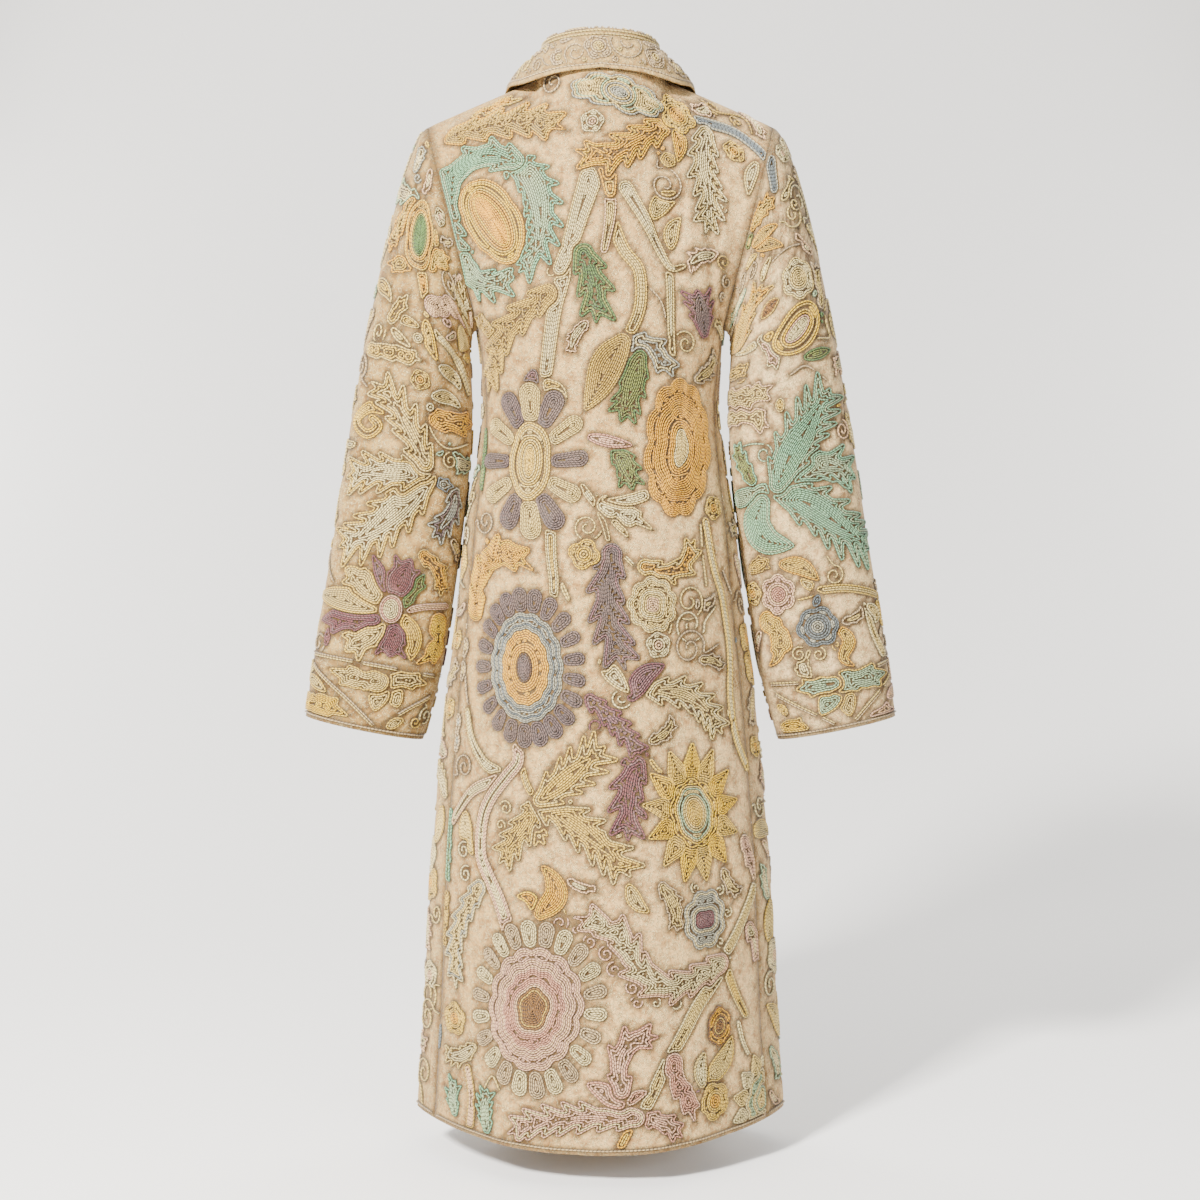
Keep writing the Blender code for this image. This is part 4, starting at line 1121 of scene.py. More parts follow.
def sleeve_cloth():
    """The left sleeve from its armhole down, its columns from the underarm seam round the back."""
    turns = np.radians(np.linspace(-90, 270, SLEEVE_CLOTH_COLUMNS + 1))
    heads = np.linspace(0, 1, SLEEVE_HEAD_CLOTH_ROWS + 1)[:-1]
    shares = np.linspace(0, 1, SLEEVE_CLOTH_ROWS + 1)
    t, s = np.meshgrid(turns, heads)
    head = sleeve_head(s, t)
    t, s = np.meshgrid(turns, shares)
    grid = np.concatenate([head, sleeve_ring(s, t)])
    grid[:, -1] = grid[:, 0]
    normals = grid_normals(grid[:, :-1], wraps=True)
    normals = np.concatenate([normals, normals[:, :1]], axis=1)
    angle = np.degrees(turns)[None]
    z = grid[..., 2]
    push = np.zeros_like(z)
    for turn, top_z, low_z, slant, width, depth in SLEEVE_FOLDS + SLEEVE_WRINKLES:
        share = (top_z - z) / (top_z - low_z)
        away = (angle - (turn + slant * share) + 180) % 360 - 180
        push += depth * np.sin(np.pi * np.clip(share, 0, 1)) * np.exp(-((away / width) ** 2))
    grid = grid + normals * push[..., None]
    grid[:, -1] = grid[:, 0]
    normals = grid_normals(grid[:, :-1], wraps=True)
    return grid, np.concatenate([normals, normals[:, :1]], axis=1)


def collar_cloth():
    """The collar's face side, from the neck seam over the roll to the outer edge."""
    end = math.pi - math.asin(FRONT_GAP_TOP / NECK_HALF)
    turns = np.linspace(-end, end, COLLAR_CLOTH_COLUMNS + 1)
    stand_shares, leaf_shares = np.linspace(0, 1, 14), np.linspace(0, 1, 25)[1:]
    path = collar_path(turns, stand_shares, np.linspace(140, 20, 9), leaf_shares)
    return path + grid_normals(path) * (COLLAR_WALL / 2)


# Where a pixel of the photograph falls on a piece


def photo_pixel(points):
    """Pixels of the 1200 x 1200 photograph at which points are seen."""
    nearer = CAMERA_DISTANCE / (CAMERA_DISTANCE - points[..., 1])
    across = points[..., 0] * nearer
    up = CAMERA_Z + (points[..., 2] - CAMERA_Z) * nearer
    return np.stack([PHOTO_CENTRE_X - across / PIXEL, PHOTO_ORIGIN_Y - up / PIXEL], axis=-1)


class PhotoMap:
    """Finds flat places on a piece from pixels of the photograph."""

    def __init__(self, panel):
        self.panel = panel
        s, t = np.meshgrid(panel.table_s, panel.table_t)
        seen = (panel.table[..., 4] > FACING) & (panel.edge_distance(s, t) > -FLAT_STEP)
        self.flat = np.stack([s[seen], t[seen]], axis=-1)
        self.pixels = photo_pixel(panel.table[..., :3][seen])

    def find(self, pixels):
        """Flat places of pixels, given as x and y in turn, each moved on from the nearest known one."""
        out = []
        for pixel in np.reshape(pixels, (-1, 2)).astype(float):
            near = np.argmin(((self.pixels - pixel) ** 2).sum(axis=1))
            place = self.flat[near].copy()
            for _ in range(2):
                around = place + np.array([[0, 0], [FLAT_STEP, 0], [0, FLAT_STEP]])
                seen = photo_pixel(self.panel.place(around[:, 0], around[:, 1])[0])
                slopes = np.stack([seen[1] - seen[0], seen[2] - seen[0]], axis=1) / FLAT_STEP
                if abs(np.linalg.det(slopes)) < 1e4:
                    break
                move = np.linalg.solve(slopes, pixel - seen[0])
                place = place + np.clip(move, -LONGEST_MOVE, LONGEST_MOVE)
            out.append(place)
        return np.array(out)

    def frame(self, pixel):
        """The flat place of a pixel, and the flat directions of the photograph's right and down."""
        x, y = pixel
        places = self.find([x, y, x, y - DOWN_STEP, x, y + DOWN_STEP, x + ACROSS_STEP, y])
        down = unit(places[2] - places[1])
        right = np.array([down[1], -down[0]])
        if right @ (places[3] - places[0]) < 0:
            right = -right
        return places[0], np.stack([right, down], axis=1)


# Outlines of motifs as fields: the distance in metres, negative inside


def smooth_line(points, step):
    """A smooth line through flat points."""
    points = np.asarray(points, float)
    if len(points) == 2:
        count = max(int(np.linalg.norm(points[1] - points[0]) / step), 2)
        return points[0] + (points[1] - points[0]) * np.linspace(0, 1, count)[:, None]
    ends = np.concatenate([[2 * points[0] - points[1]], points, [2 * points[-1] - points[-2]]])
    out = []
    for a, b, c, d in zip(ends, ends[1:], ends[2:], ends[3:]):
        count = max(int(np.linalg.norm(c - b) / step), 2)
        t = np.linspace(0, 1, count, endpoint=False)[:, None]
        bend, twist = 2 * a - 5 * b + 4 * c - d, 3 * b - a - 3 * c + d
        out.append(0.5 * (2 * b + (c - a) * t + bend * t**2 + twist * t**3))
    return np.concatenate(out + [points[-1:]])


def foot_on(s, t, start, step):
    """The share of the way along a straight step nearest to flat places, and what lies between."""
    along = np.clip(((s - start[0]) * step[0] + (t - start[1]) * step[1]) / max(step @ step, 1e-12), 0, 1)
    return along, np.hypot(s - start[0] - along * step[0], t - start[1] - along * step[1])


def along_line(s, t, line):
    """Distance from a line, and the share of the way along it."""
    best = np.full(s.shape, 1e9)
    share = np.zeros_like(best)
    lengths = np.concatenate([[0], np.cumsum(np.linalg.norm(np.diff(line, axis=0), axis=1))])
    for k, (a, b) in enumerate(zip(line[:-1], line[1:])):
        along, distance = foot_on(s, t, a, b - a)
        nearer = distance < best
        best = np.where(nearer, distance, best)
        here = (lengths[k] + along * (lengths[k + 1] - lengths[k])) / lengths[-1]
        share = np.where(nearer, here, share)
    return best, share


def finger_field(s, t, start, end, wide, narrow):
    """A rounded finger from one flat point to another, tapering to its tip."""
    along, distance = foot_on(s, t, start, end - start)
    return distance - (wide + (narrow - wide) * along)


def leaf_field(s, t, line, width, lobes, depth):
    """A leaf along a line, plain or with fingers that lean towards its tip."""
    distance, share = along_line(s, t, line)
    arch = (LEAF_FOOT + (1 - LEAF_FOOT) * np.clip(share, 0, 1)) ** LEAF_BLUNTNESS
    body = np.sin(np.pi * arch) ** LEAF_BLUNTNESS
    if not lobes:
        return distance - width / 2 * body
    field = distance - width / 2 * (LEAF_CORE - depth) * body
    total = float(np.linalg.norm(np.diff(line, axis=0), axis=1).sum())
    pitch = total / (lobes + FINGER_END)
    ways = unit(np.gradient(line, axis=0))
    for k in range(lobes):
        for side in (-1, 1):
            place = (k + FINGER_START + FINGER_STAGGER * side) / (lobes + FINGER_END)
            i = int(place * (len(line) - 1))
            out = np.array([-ways[i][1], ways[i][0]]) * side
            arch = FINGER_ARCH[0] + FINGER_ARCH[1] * place
            reach = width / 2 * math.sin(math.pi * arch) ** FINGER_BLUNTNESS
            tip = line[i] + out * reach * FINGER_OUT + ways[i] * reach
            finger = finger_field(s, t, line[i], tip, pitch * FINGER_BASE, pitch * FINGER_TIP)
            field = np.minimum(field, finger)
    return field


def branch_field(s, t, line, start_width, end_width):
    distance, share = along_line(s, t, line)
    return distance - (start_width + (end_width - start_width) * share) / 2


def oval_field(u, v, rx, ry):
    """An oval with its axes along u and v."""
    k0 = np.hypot(u / rx, v / ry)
    k1 = np.hypot(u / rx**2, v / ry**2)
    return k0 * (k0 - 1) / np.maximum(k1, 1e-9)


def scalloped_field(u, v, rx, ry, lobes, depth, phase):
    """An oval whose edge bulges in lobes."""
    angle = np.arctan2(v / ry, u / rx)
    bulge = np.abs(np.cos((angle * lobes + phase) / 2)) ** SCALLOP_BLUNTNESS if lobes else 1.0
    return oval_field(u, v, rx, ry) + depth * (1 - bulge)


# Contour lines of a field

# For each pattern of corners inside, the cell sides that the contour joins
CROSSINGS = {
    1: ((3, 0),),
    2: ((0, 1),),
    3: ((3, 1),),
    4: ((1, 2),),
    5: ((3, 0), (1, 2)),
    6: ((0, 2),),
    7: ((3, 2),),
    8: ((2, 3),),
    9: ((0, 2),),
    10: ((0, 1), (2, 3)),
    11: ((1, 2),),
    12: ((1, 3),),
    13: ((0, 1),),
    14: ((3, 0),),
}


def contours(field):
    """Lines where a field crosses zero, as (closed, points in cells)."""
    inside = field < 0
    code = inside[:-1, :-1] + 2 * inside[:-1, 1:] + 4 * inside[1:, 1:] + 8 * inside[1:, :-1]
    links = {}
    for y, x in zip(*(axis.tolist() for axis in np.nonzero((code > 0) & (code < 15)))):
        sides = ((y, x, 0), (y, x + 1, 1), (y + 1, x, 0), (y, x, 1))
        for a, b in CROSSINGS[int(code[y, x])]:
            links.setdefault(sides[a], []).append(sides[b])
            links.setdefault(sides[b], []).append(sides[a])
    lines = []
    starts = [side for side, ends in links.items() if len(ends) == 1] + list(links)
    for start in starts:
        if start not in links:
            continue
        line, here = [start], start
        while links.get(here):
            ends = links.pop(here)
            step = next((end for end in ends if end in links), None)
            if step is None:
                break
            line.append(step)
            here = step
        links.pop(here, None)
        gap = max(abs(line[0][0] - line[-1][0]), abs(line[0][1] - line[-1][1]))
        points = []
        for y, x, upright in line:
            a, b = field[y, x], (field[y + 1, x] if upright else field[y, x + 1])
            part = a / (a - b)
            points.append((x, y + part) if upright else (x + part, y))
        lines.append((len(line) > 3 and gap <= 1, np.array(points)))
    return lines


# Rows of chain stitch


def window(panel, low, high):
    """The part of a panel's raster between two flat corners."""
    j0 = max(int((low[0] - panel.s_low) / CELL) - 2, 0)
    j1 = min(int((high[0] - panel.s_low) / CELL) + 4, len(panel.raster_s))
    i0 = max(int(low[1] / CELL) - 2, 0)
    i1 = min(int(high[1] / CELL) + 4, len(panel.raster_t))
    if i1 - i0 < 4 or j1 - j0 < 4:
        return None
    s, t = np.meshgrid(panel.raster_s[j0:j1], panel.raster_t[i0:i1])
    return (slice(i0, i1), slice(j0, j1)), s, t


def resampled(points, closed, spacing):
    """A line's points at even spacing, its corners eased."""
    if closed:
        points = np.concatenate([points, points[:1]])
    lengths = np.concatenate([[0], np.cumsum(np.linalg.norm(np.diff(points, axis=0), axis=1))])
    total = lengths[-1]
    count = max(int(round(total / spacing)), 4 if closed else 2)
    at = np.linspace(0, total, count + 1)
    out = np.stack([np.interp(at, lengths, points[:, k]) for k in range(2)], axis=1)
    if closed:
        out = out[:-1]
        out = (np.roll(out, 1, axis=0) + 2 * out + np.roll(out, -1, axis=0)) / 4
    return out, total


def sew(panel, points, closed, width, colour):
    """Keep a row of stitches along flat points."""
    line, total = resampled(points, closed, STITCH / 2)
    if total >= STITCH and len(line) >= 3:
        panel.rows.append((line, closed, width, np.array(THREADS[colour])))


def fill(panel, region, field, colours):
    """Fill an area with rows that follow its outline, the outer row first in colours."""
    depth = -float(field.min())
    if depth < LEAST_DEPTH:
        return
    count = max(int(round(depth / ROW_PITCH)), 1)
    pitch = depth / count
    width = float(np.clip(pitch * ROW_OVERLAP, *ROW_WIDTHS))
    for k in range(count):
        for closed, points in contours(field + (k + 0.5) * pitch):
            if len(points) >= 4:
                s = panel.raster_s[region[1].start] + points[:, 0] * CELL
                t = panel.raster_t[region[0].start] + points[:, 1] * CELL
                sew(panel, np.stack([s, t], axis=1), closed, width, colours[min(k, len(colours) - 1)])


def stitch_zones(panel, low, high, make_zones):
    """Fill a motif's zones in turn, keeping clear of what is sewn already."""
    found = window(panel, low, high)
    if found is None:
        return
    region, s, t = found
    free = GAP - panel.clear[region]
    whole = None
    for field, colours in make_zones(s, t):
        whole = field if whole is None else np.minimum(whole, field)
        fill(panel, region, np.maximum(field, free), colours)
    panel.clear[region] = np.minimum(panel.clear[region], np.maximum(whole, free))


def box_of(points, margin):
    points = np.atleast_2d(points)
    return points.min(axis=0) - margin, points.max(axis=0) + margin


# Drawing of motifs


def ring_petals(u, v, inner_size, size, petals, depth, is_pointed):
    """Petals that stand out from an inner oval to an outer one, as fields."""
    angle = np.arctan2(v / size[1], u / size[0]) / (2 * np.pi) * petals
    which = np.round(angle).astype(int) % petals
    base_share, tip_share = POINTED_PETAL if is_pointed else ROUND_PETAL
    for k in range(petals):
        turn = k / petals * 2 * np.pi
        ahead = np.array([math.cos(turn), math.sin(turn)])
        start, end = ahead * inner_size, ahead * size
        half = math.pi * math.hypot(*((start + end) / 2)) / petals * depth
        length = np.linalg.norm(end - start)
        base = start + (end - start) * min(half * PETAL_ROUNDING / length, PETAL_INSET)
        tip = end - (end - start) * min(half * tip_share / length, PETAL_INSET)
        petal = finger_field(u, v, base, tip, half * base_share, half * tip_share)
        yield k, which == k, petal


def draw_rosette(panel, item):
    """Rings round a centre, from the innermost out. A ring may be parted into petals."""
    centre, frame, rings = item["at"], item["frame"], item["rings"]
    reach = max(max(ring[:2]) for ring in rings) * ROSETTE_MARGIN

    def zones(s, t):
        ds, dt = s - centre[0], t - centre[1]
        u = ds * frame[0, 0] + dt * frame[1, 0]
        v = ds * frame[0, 1] + dt * frame[1, 1]
        # No two rosettes are bent alike, since their places start the waves.
        wobble = WOBBLE * reach * WOBBLE_SHARE
        u = u + wobble * np.sin(v / reach * 5 + centre[0] * 90)
        v = v + wobble * np.sin(u / reach * 4 + centre[1] * 70)
        inner = None
        for rx, ry, lobes, depth, petals, colours in rings:
            if petals:
                made = ring_petals(u, v, inner_size, (rx, ry), petals, depth, bool(lobes))
                for k, own_sector, petal in made:
                    petal = np.maximum(petal, PETAL_GAP - inner)
                    petal = np.where(own_sector, petal, np.maximum(petal, SECTOR_GAP))
                    yield petal, [colours[k % len(colours)]]
                continue
            outline = scalloped_field(u, v, rx, ry, lobes, depth, centre[0] * LOBE_SHIFT)
            yield outline if inner is None else np.maximum(outline, RING_GAP - inner), colours
            inner, inner_size = outline, (rx, ry)

    stitch_zones(panel, centre - reach, centre + reach, zones)


def draw_leaf(panel, item):
    """A leaf, or a branch, whose width changes evenly from one end to the other."""
    line = smooth_line(item["line"], LEAF_STEP)

    def zones(s, t):
        if "end_width" in item:
            yield branch_field(s, t, line, item["width"], item["end_width"]), item["colours"]
        else:
            yield leaf_field(s, t, line, item["width"], item["lobes"], item["depth"]), item["colours"]

    low, high = box_of(line, item["width"])
    stitch_zones(panel, low, high, zones)


def draw_stem(panel, item):
    """A line of one or more rows, left out wherever something is sewn already."""
    line = smooth_line(item["line"], STEM_STEP)
    rows, width, colours = item["rows"], item["width"], item["colours"]
    side = unit(np.gradient(line, axis=0))
    side = np.stack([-side[:, 1], side[:, 0]], axis=1)
    free = panel.clearance(line[:, 0], line[:, 1]) > width * rows / 2
    for k in range(rows):
        row = line + side * ((k - (rows - 1) / 2) * width)
        keep_runs(panel, row, free, width * STEM_OVERLAP, colours[k % len(colours)])
    low, high = box_of(line, width * rows)
    found = window(panel, low, high)
    if found is None or not free.any():
        return
    region, s, t = found
    distance = along_line(s, t, line[:: max(len(line) // 60, 1)])[0] - width * rows / 2
    panel.clear[region] = np.minimum(panel.clear[region], distance)


def keep_runs(panel, line, free, width, colour):
    """Sew the stretches of a line that are free."""
    start = None
    for i, is_free in enumerate(list(free) + [False]):
        if is_free and start is None:
            start = i
        if not is_free and start is not None:
            if i - start > SHORTEST_RUN:
                sew(panel, line[start:i], False, width, colour)
            start = None


def spiral_line(centre, radius, turns, start, hand):
    """A line that winds in from a circle to its centre."""
    angles = np.linspace(0, turns * 2 * math.pi, max(int(turns * CURL_STEPS), 8))
    grow = 1 - CURL_SHRINK * np.linspace(0, 1, len(angles))
    x = centre[0] + radius * grow * np.cos(start + hand * angles)
    y = centre[1] + radius * grow * np.sin(start + hand * angles)
    return np.stack([x, y], axis=1)


def draw_knot(panel, item):
    """A small flower of one round of petals about a knot."""
    radius = item["radius"]
    petals, middle = item["colours"]
    rings = [
        (radius * KNOT_MIDDLE, radius * KNOT_MIDDLE, 0, 0, 0, [middle]),
        (radius, radius, item["lobes"], radius * KNOT_DEPTH, 0, [petals]),
    ]
    draw_rosette(panel, {"at": item["at"], "frame": np.eye(2), "rings": rings})


DRAW = {
    "rosette": draw_rosette,
    "leaf": draw_leaf,
    "branch": draw_leaf,
    "stem": draw_stem,
    "knot": draw_knot,
}


def flat_ring(rx, ry, colours, lobes=0, depth=0, petals=0):
    """One ring of a rosette in metres. The depth of petals is a share and stays."""
    depth = depth if petals else depth * MOTIF_PIXEL
    return rx * MOTIF_PIXEL, ry * MOTIF_PIXEL, lobes, depth, petals, colours.split()


def rosette_item(photo, x, y, tilt, rings):
    at, frame = photo.frame((x, y))
    turn = math.radians(tilt)
    spin = np.array([[math.cos(turn), -math.sin(turn)], [math.sin(turn), math.cos(turn)]])
    rings = [flat_ring(*ring) for ring in rings]
    return {"kind": "rosette", "at": at, "frame": frame @ spin, "rings": rings}


def leaf_item(photo, points, width, colours, lobes=0, depth=0):
    item = {"kind": "leaf", "line": photo.find(points), "width": width * MOTIF_PIXEL}
    return {**item, "lobes": lobes, "depth": depth, "colours": colours.split()}


def branch_item(photo, points, start_width, end_width, colours):
    item = {"kind": "branch", "line": photo.find(points), "colours": colours.split()}
    return {**item, "width": start_width * MOTIF_PIXEL, "end_width": end_width * MOTIF_PIXEL}


def stem_item(line, colours, rows=1):
    item = {"kind": "stem", "line": line, "rows": rows}
    return {**item, "width": STEM_ROW, "colours": colours.split()}


def curl_item(photo, x, y, radius, turns, start, hand, colour):
    at, frame = photo.frame((x, y))
    line = spiral_line(np.zeros(2), radius * MOTIF_PIXEL, turns, math.radians(start), hand)
    return stem_item(line @ frame.T + at, colour)


def flat_items(piece, photo):
    """The motif tables of a photographed piece turned into things to draw at its flat places."""
    return (
        [rosette_item(photo, *row) for row in ROSETTES[piece]]
        + [leaf_item(photo, *row) for row in LEAVES[piece]]
        + [branch_item(photo, *row) for row in BRANCHES[piece]]
        + [stem_item(photo.find(points), *rest) for points, *rest in STEMS[piece]]
        + [curl_item(photo, *row) for row in CURLS[piece]]
    )


def moved(items, turn_over):
    """Copies of things to draw with their flat places moved and turned over by a function."""
    out = []
    for item in items:
        item = dict(item)
        if "at" in item:
            item["at"] = turn_over(item["at"][None])[0]
            item["frame"] = item["frame"] * np.array([[-1.0], [1.0]])
        if "line" in item:
            item["line"] = turn_over(item["line"])
        out.append(item)
    return out


def small_motif(rng, kind, at, room):
    """One of the small motifs in a gap, with its turn and size."""
    shape, colours, lobes = kind
    angle = rng.uniform(0, 2 * math.pi)
    ahead = np.array([math.cos(angle), math.sin(angle)])
    beside = np.array([-ahead[1], ahead[0]]) * rng.choice([-1, 1])
    reach = min(room, FILLER_REACH) * SMALL_SIZE
    if shape == "leaf":
        line = np.array([at - ahead * reach, at + beside * reach * SMALL_LEAF_BOW, at + ahead * reach])
        item = {"kind": "leaf", "line": line, "width": reach * SMALL_LEAF_WIDTH}
        return {**item, "lobes": lobes, "depth": SMALL_LEAF_DEPTH, "colours": colours.split()}
    if shape == "knot":
        item = {"kind": "knot", "at": at, "radius": reach * SMALL_RADIUS}
        return {**item, "lobes": lobes, "colours": colours.split()}
    line = spiral_line(at, reach * SMALL_RADIUS, SMALL_CURL_TURNS, angle, rng.choice([-1, 1]))
    tail = at + ahead * reach * SMALL_CURL_TAIL[0] - beside * reach * SMALL_CURL_TAIL[1]
    return stem_item(np.concatenate([[tail], line]), colours)


def fill_gaps(panel, seed, motifs):
    """Small sprigs, curls and flowers in the widest gaps, widest first."""
    rng = np.random.default_rng(seed)
    least = FILLER_ROOM.get(panel.name, FILLER_ROOM_ELSEWHERE)
    for _ in range(FILLER_LIMIT):
        coarse = panel.clear[::2, ::2]
        i, j = (2 * index for index in np.unravel_index(np.argmax(coarse), coarse.shape))
        room = panel.clear[i, j]
        if room < least:
            break
        at = np.array([panel.raster_s[j], panel.raster_t[i]])
        item = small_motif(rng, motifs[int(rng.integers(len(motifs)))], at, room)
        DRAW[item["kind"]](panel, item)
        spot = (slice(max(i - 3, 0), i + 4), slice(max(j - 3, 0), j + 4))
        panel.clear[spot] = np.minimum(panel.clear[spot], least * FILLED_ROOM)


# Meshes


def mesh_piece(name, points, quads):
    mesh = bpy.data.meshes.new(name)
    mesh.vertices.add(len(points))
    mesh.vertices.foreach_set("co", np.asarray(points, np.float32).ravel())
    mesh.loops.add(quads.size)
    mesh.loops.foreach_set("vertex_index", quads.astype(np.int32).ravel())
    mesh.polygons.add(len(quads))
    mesh.polygons.foreach_set("loop_start", np.arange(0, quads.size, 4, dtype=np.int32))
    mesh.polygons.foreach_set("use_smooth", np.full(len(quads), True))
    mesh.update(calc_edges=True)
    piece = bpy.data.objects.new(name, mesh)
    bpy.context.scene.collection.objects.link(piece)
    return piece


def point_colours(piece, name, colours):
    layer = piece.data.attributes.new(name, "FLOAT_COLOR", "POINT")
    alpha = np.ones((len(colours), 1))
    layer.data.foreach_set("color", np.concatenate([colours, alpha], axis=1).astype(np.float32).ravel())


def grid_quads(rows, columns, start=0):
    """Faces of a grid of points, seen from the side where columns cross rows."""
    r, c = np.meshgrid(np.arange(rows - 1), np.arange(columns - 1), indexing="ij")
    a = (r * columns + c).ravel() + start
    return np.stack([a, a + 1, a + columns + 1, a + columns], axis=1)


def row_roof(panel, row, rng):
    """Points and thread colours of a row, a low roof with three points a step; its feet are darkened by
    painted shade.
    """
    line, closed, width, colour = row
    place, normal = panel.place(line[:, 0], line[:, 1])
    if closed:
        along = np.roll(place, -1, axis=0) - np.roll(place, 1, axis=0)
    else:
        along = np.gradient(place, axis=0)
    side = unit(np.cross(normal, unit(along)))
    ends = np.ones(len(line))
    if not closed:
        ends[0] = ends[-1] = ROW_END
    half = (width / 2 * ends)[:, None]
    top = place + normal * (ROW_HEIGHT * ends)[:, None]
    feet = [place + side * way * half - normal * ROW_SINK for way in (-1, 1)]
    tint = colour * (1 + rng.uniform(-TINT_SPREAD, TINT_SPREAD))
    steps = rng.uniform(1 - STEP_SPREAD, 1 + STEP_SPREAD, len(line))[:, None]
    points = np.stack([feet[0], top, feet[1]], axis=1)
    # The feet take painted shade: the thread colour darkened where shade falls between rows
    colours = np.stack([tint * PAINTED_CREVICE_SHADE * steps, tint * steps, tint * PAINTED_CREVICE_SHADE * steps], axis=1)
    return points.reshape(-1, 3), colours.reshape(-1, 3)


def roof_faces(count, closed, start):
    """Faces of a row's two sides, and where each corner lies along and across the chain."""
    steps = np.arange(count if closed else count - 1)
    ahead = (steps + 1) % count
    u = steps * LINK_SHARE
    along = np.stack([u, u + LINK_SHARE, u + LINK_SHARE, u], axis=1)
    faces, uvs = [], []
    for k in range(2):
        a, b = steps * 3 + k + start, ahead * 3 + k + start
        faces.append(np.stack([a, b, b + 1, a + 1], axis=1))
        across = np.broadcast_to([k / 2, k / 2, (k + 1) / 2, (k + 1) / 2], along.shape)
        uvs.append(np.stack([along, across], axis=2))
    return faces, uvs


def embroider(panel, material, parts):
    """One mesh of raised chain stitch rows for each stretch of a panel, from its top down."""
    spans = np.linspace(0, panel.length, parts + 1)
    stretches = [[] for _ in range(parts)]
    for row in panel.rows:
        middle = row[0][:, 1].mean()
        stretches[int(np.clip(np.searchsorted(spans, middle, "right") - 1, 0, parts - 1))].append(row)
    rng = np.random.default_rng(len(panel.rows))
    made = []
    for number, rows in enumerate(stretches, 1):
        points, colours, quads, uvs = [], [], [], []
        total = 0
        for row in rows:
            roof, tints = row_roof(panel, row, rng)
            faces, corners = roof_faces(len(row[0]), row[1], total)
            points.append(roof)
            colours.append(tints)
            quads += faces
            uvs += corners
            total += len(roof)
        name = f"{panel.name}_embroidery" + (f"_{number}" if parts > 1 else "")
        piece = mesh_piece(name, np.concatenate(points), np.concatenate(quads))
        point_colours(piece, "thread", np.clip(np.concatenate(colours), 0, 1))
        layer = piece.data.uv_layers.new(name="stitch")
        layer.data.foreach_set("uv", np.concatenate(uvs).astype(np.float32).ravel())
        piece.data.materials.append(material)
        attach(piece, "root")
        made.append(piece)
    return made


def seam_distance(panel):
    """How far the points of a piece's cloth lie from the seams that join it to its neighbours."""
    if panel.is_tube:
        return np.broadcast_to(panel.t[:, None], panel.s.shape)
    low, high = (edge[:, None] for edge in panel.sides(panel.t))
    if panel.name == "back":
        return np.minimum(panel.s - low, high - panel.s)
    if panel.name.startswith("front"):
        return high - panel.s
    return np.ones(panel.s.shape)


def shade_of(panel):
    """How dark each point of a piece's cloth is, beside motifs and along seams, from 0 to 1."""
    t = np.broadcast_to(panel.t[:, None], panel.s.shape)
    room = np.clip(panel.clearance(panel.s, t), 0, None)
    shade = np.exp(-((room / CLOSE_SHADE) ** 2))
    shade = np.where(panel.edge_distance(panel.s, t) < EDGE_BAND, EDGE_SHADE_SHARE * shade, shade)
    shade = shade * CLOSE_SHADE_SHARE.get(panel.name, 1.0)
    beside_seam = np.exp(-((seam_distance(panel) / SEAM_SHADE_WIDTH) ** 2))
    return np.maximum(shade, SEAM_SHADE * beside_seam)


def shell_faces(rows, columns, is_tube):
    """Faces of a closed shell: the outer grid, the inner grid and strips along the open edges."""
    shift = rows * columns

    def strip(a, b):
        return np.stack([a, b, b + shift, a + shift], axis=1)

    top = np.arange(columns - 1)
    low = top + (rows - 1) * columns
    faces = [grid_quads(rows, columns), grid_quads(rows, columns, shift)[:, ::-1]]
    faces += [strip(top + 1, top), strip(low, low + 1)]
    if not is_tube:
        first = np.arange(rows - 1) * columns
        last = first + columns - 1
        faces += [strip(first, first + columns), strip(last + columns, last)]
    return np.concatenate(faces)


def weave(panel, material, wall):
    """The cloth itself: a closed thin shell with its outer face under the embroidery."""
    grid, normals = panel.grid, panel.normals
    shade = shade_of(panel)
    dent, puff = (SHADE_DENT * shade)[..., None], (CLOTH_PUFF * (1 - shade))[..., None]
    outer = grid - normals * dent + normals * puff
    inner = grid - normals * wall
    if panel.is_tube:
        outer[:, -1], inner[:, -1] = outer[:, 0], inner[:, 0]
    faces = shell_faces(*shade.shape, panel.is_tube)
    # The grid's own direction says which way its faces look.
    look = np.cross(grid[1, 1] - grid[1, 0], grid[2, 1] - grid[1, 1]) @ normals[1, 1]
    if look < 0:
        faces = faces[:, ::-1]
    points = np.concatenate([outer.reshape(-1, 3), inner.reshape(-1, 3)])
    piece = mesh_piece(f"{panel.name}_cloth", points, faces)
    # Painted shade beside motifs and along seams goes to the material as the near colour
    shades = np.concatenate([shade.ravel(), np.zeros(shade.size)])
    point_colours(piece, "near", np.repeat(shades[:, None], 3, axis=1))
    if panel.is_tube:
        merge = bmesh.new()
        merge.from_mesh(piece.data)
        bmesh.ops.remove_doubles(merge, verts=merge.verts, dist=1e-6)
        merge.to_mesh(piece.data)
        merge.free()
    piece.data.materials.append(material)
    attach(piece, "root")
    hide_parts(panel.name)
    return piece


# Materials


def feed(tree, socket, value):
    """Give a socket a number, a colour or what another node puts out."""
    if isinstance(value, (int, float)):
        socket.default_value = value
    elif isinstance(value, tuple):
        socket.default_value = (*value, 1.0)
    else:
        tree.links.new(value, socket)


def add_node(tree, kind, **values):
    """A shader node with values for its named inputs."""
    node = tree.nodes.new(f"ShaderNode{kind}")
    for name, value in values.items():
        feed(tree, node.inputs[name.replace("_", " ")], value)
    return node


def math_node(tree, operation, *values):
    node = tree.nodes.new("ShaderNodeMath")
    node.operation = operation
    for socket, value in zip(node.inputs, values):
        feed(tree, socket, value)
    return node.outputs[0]


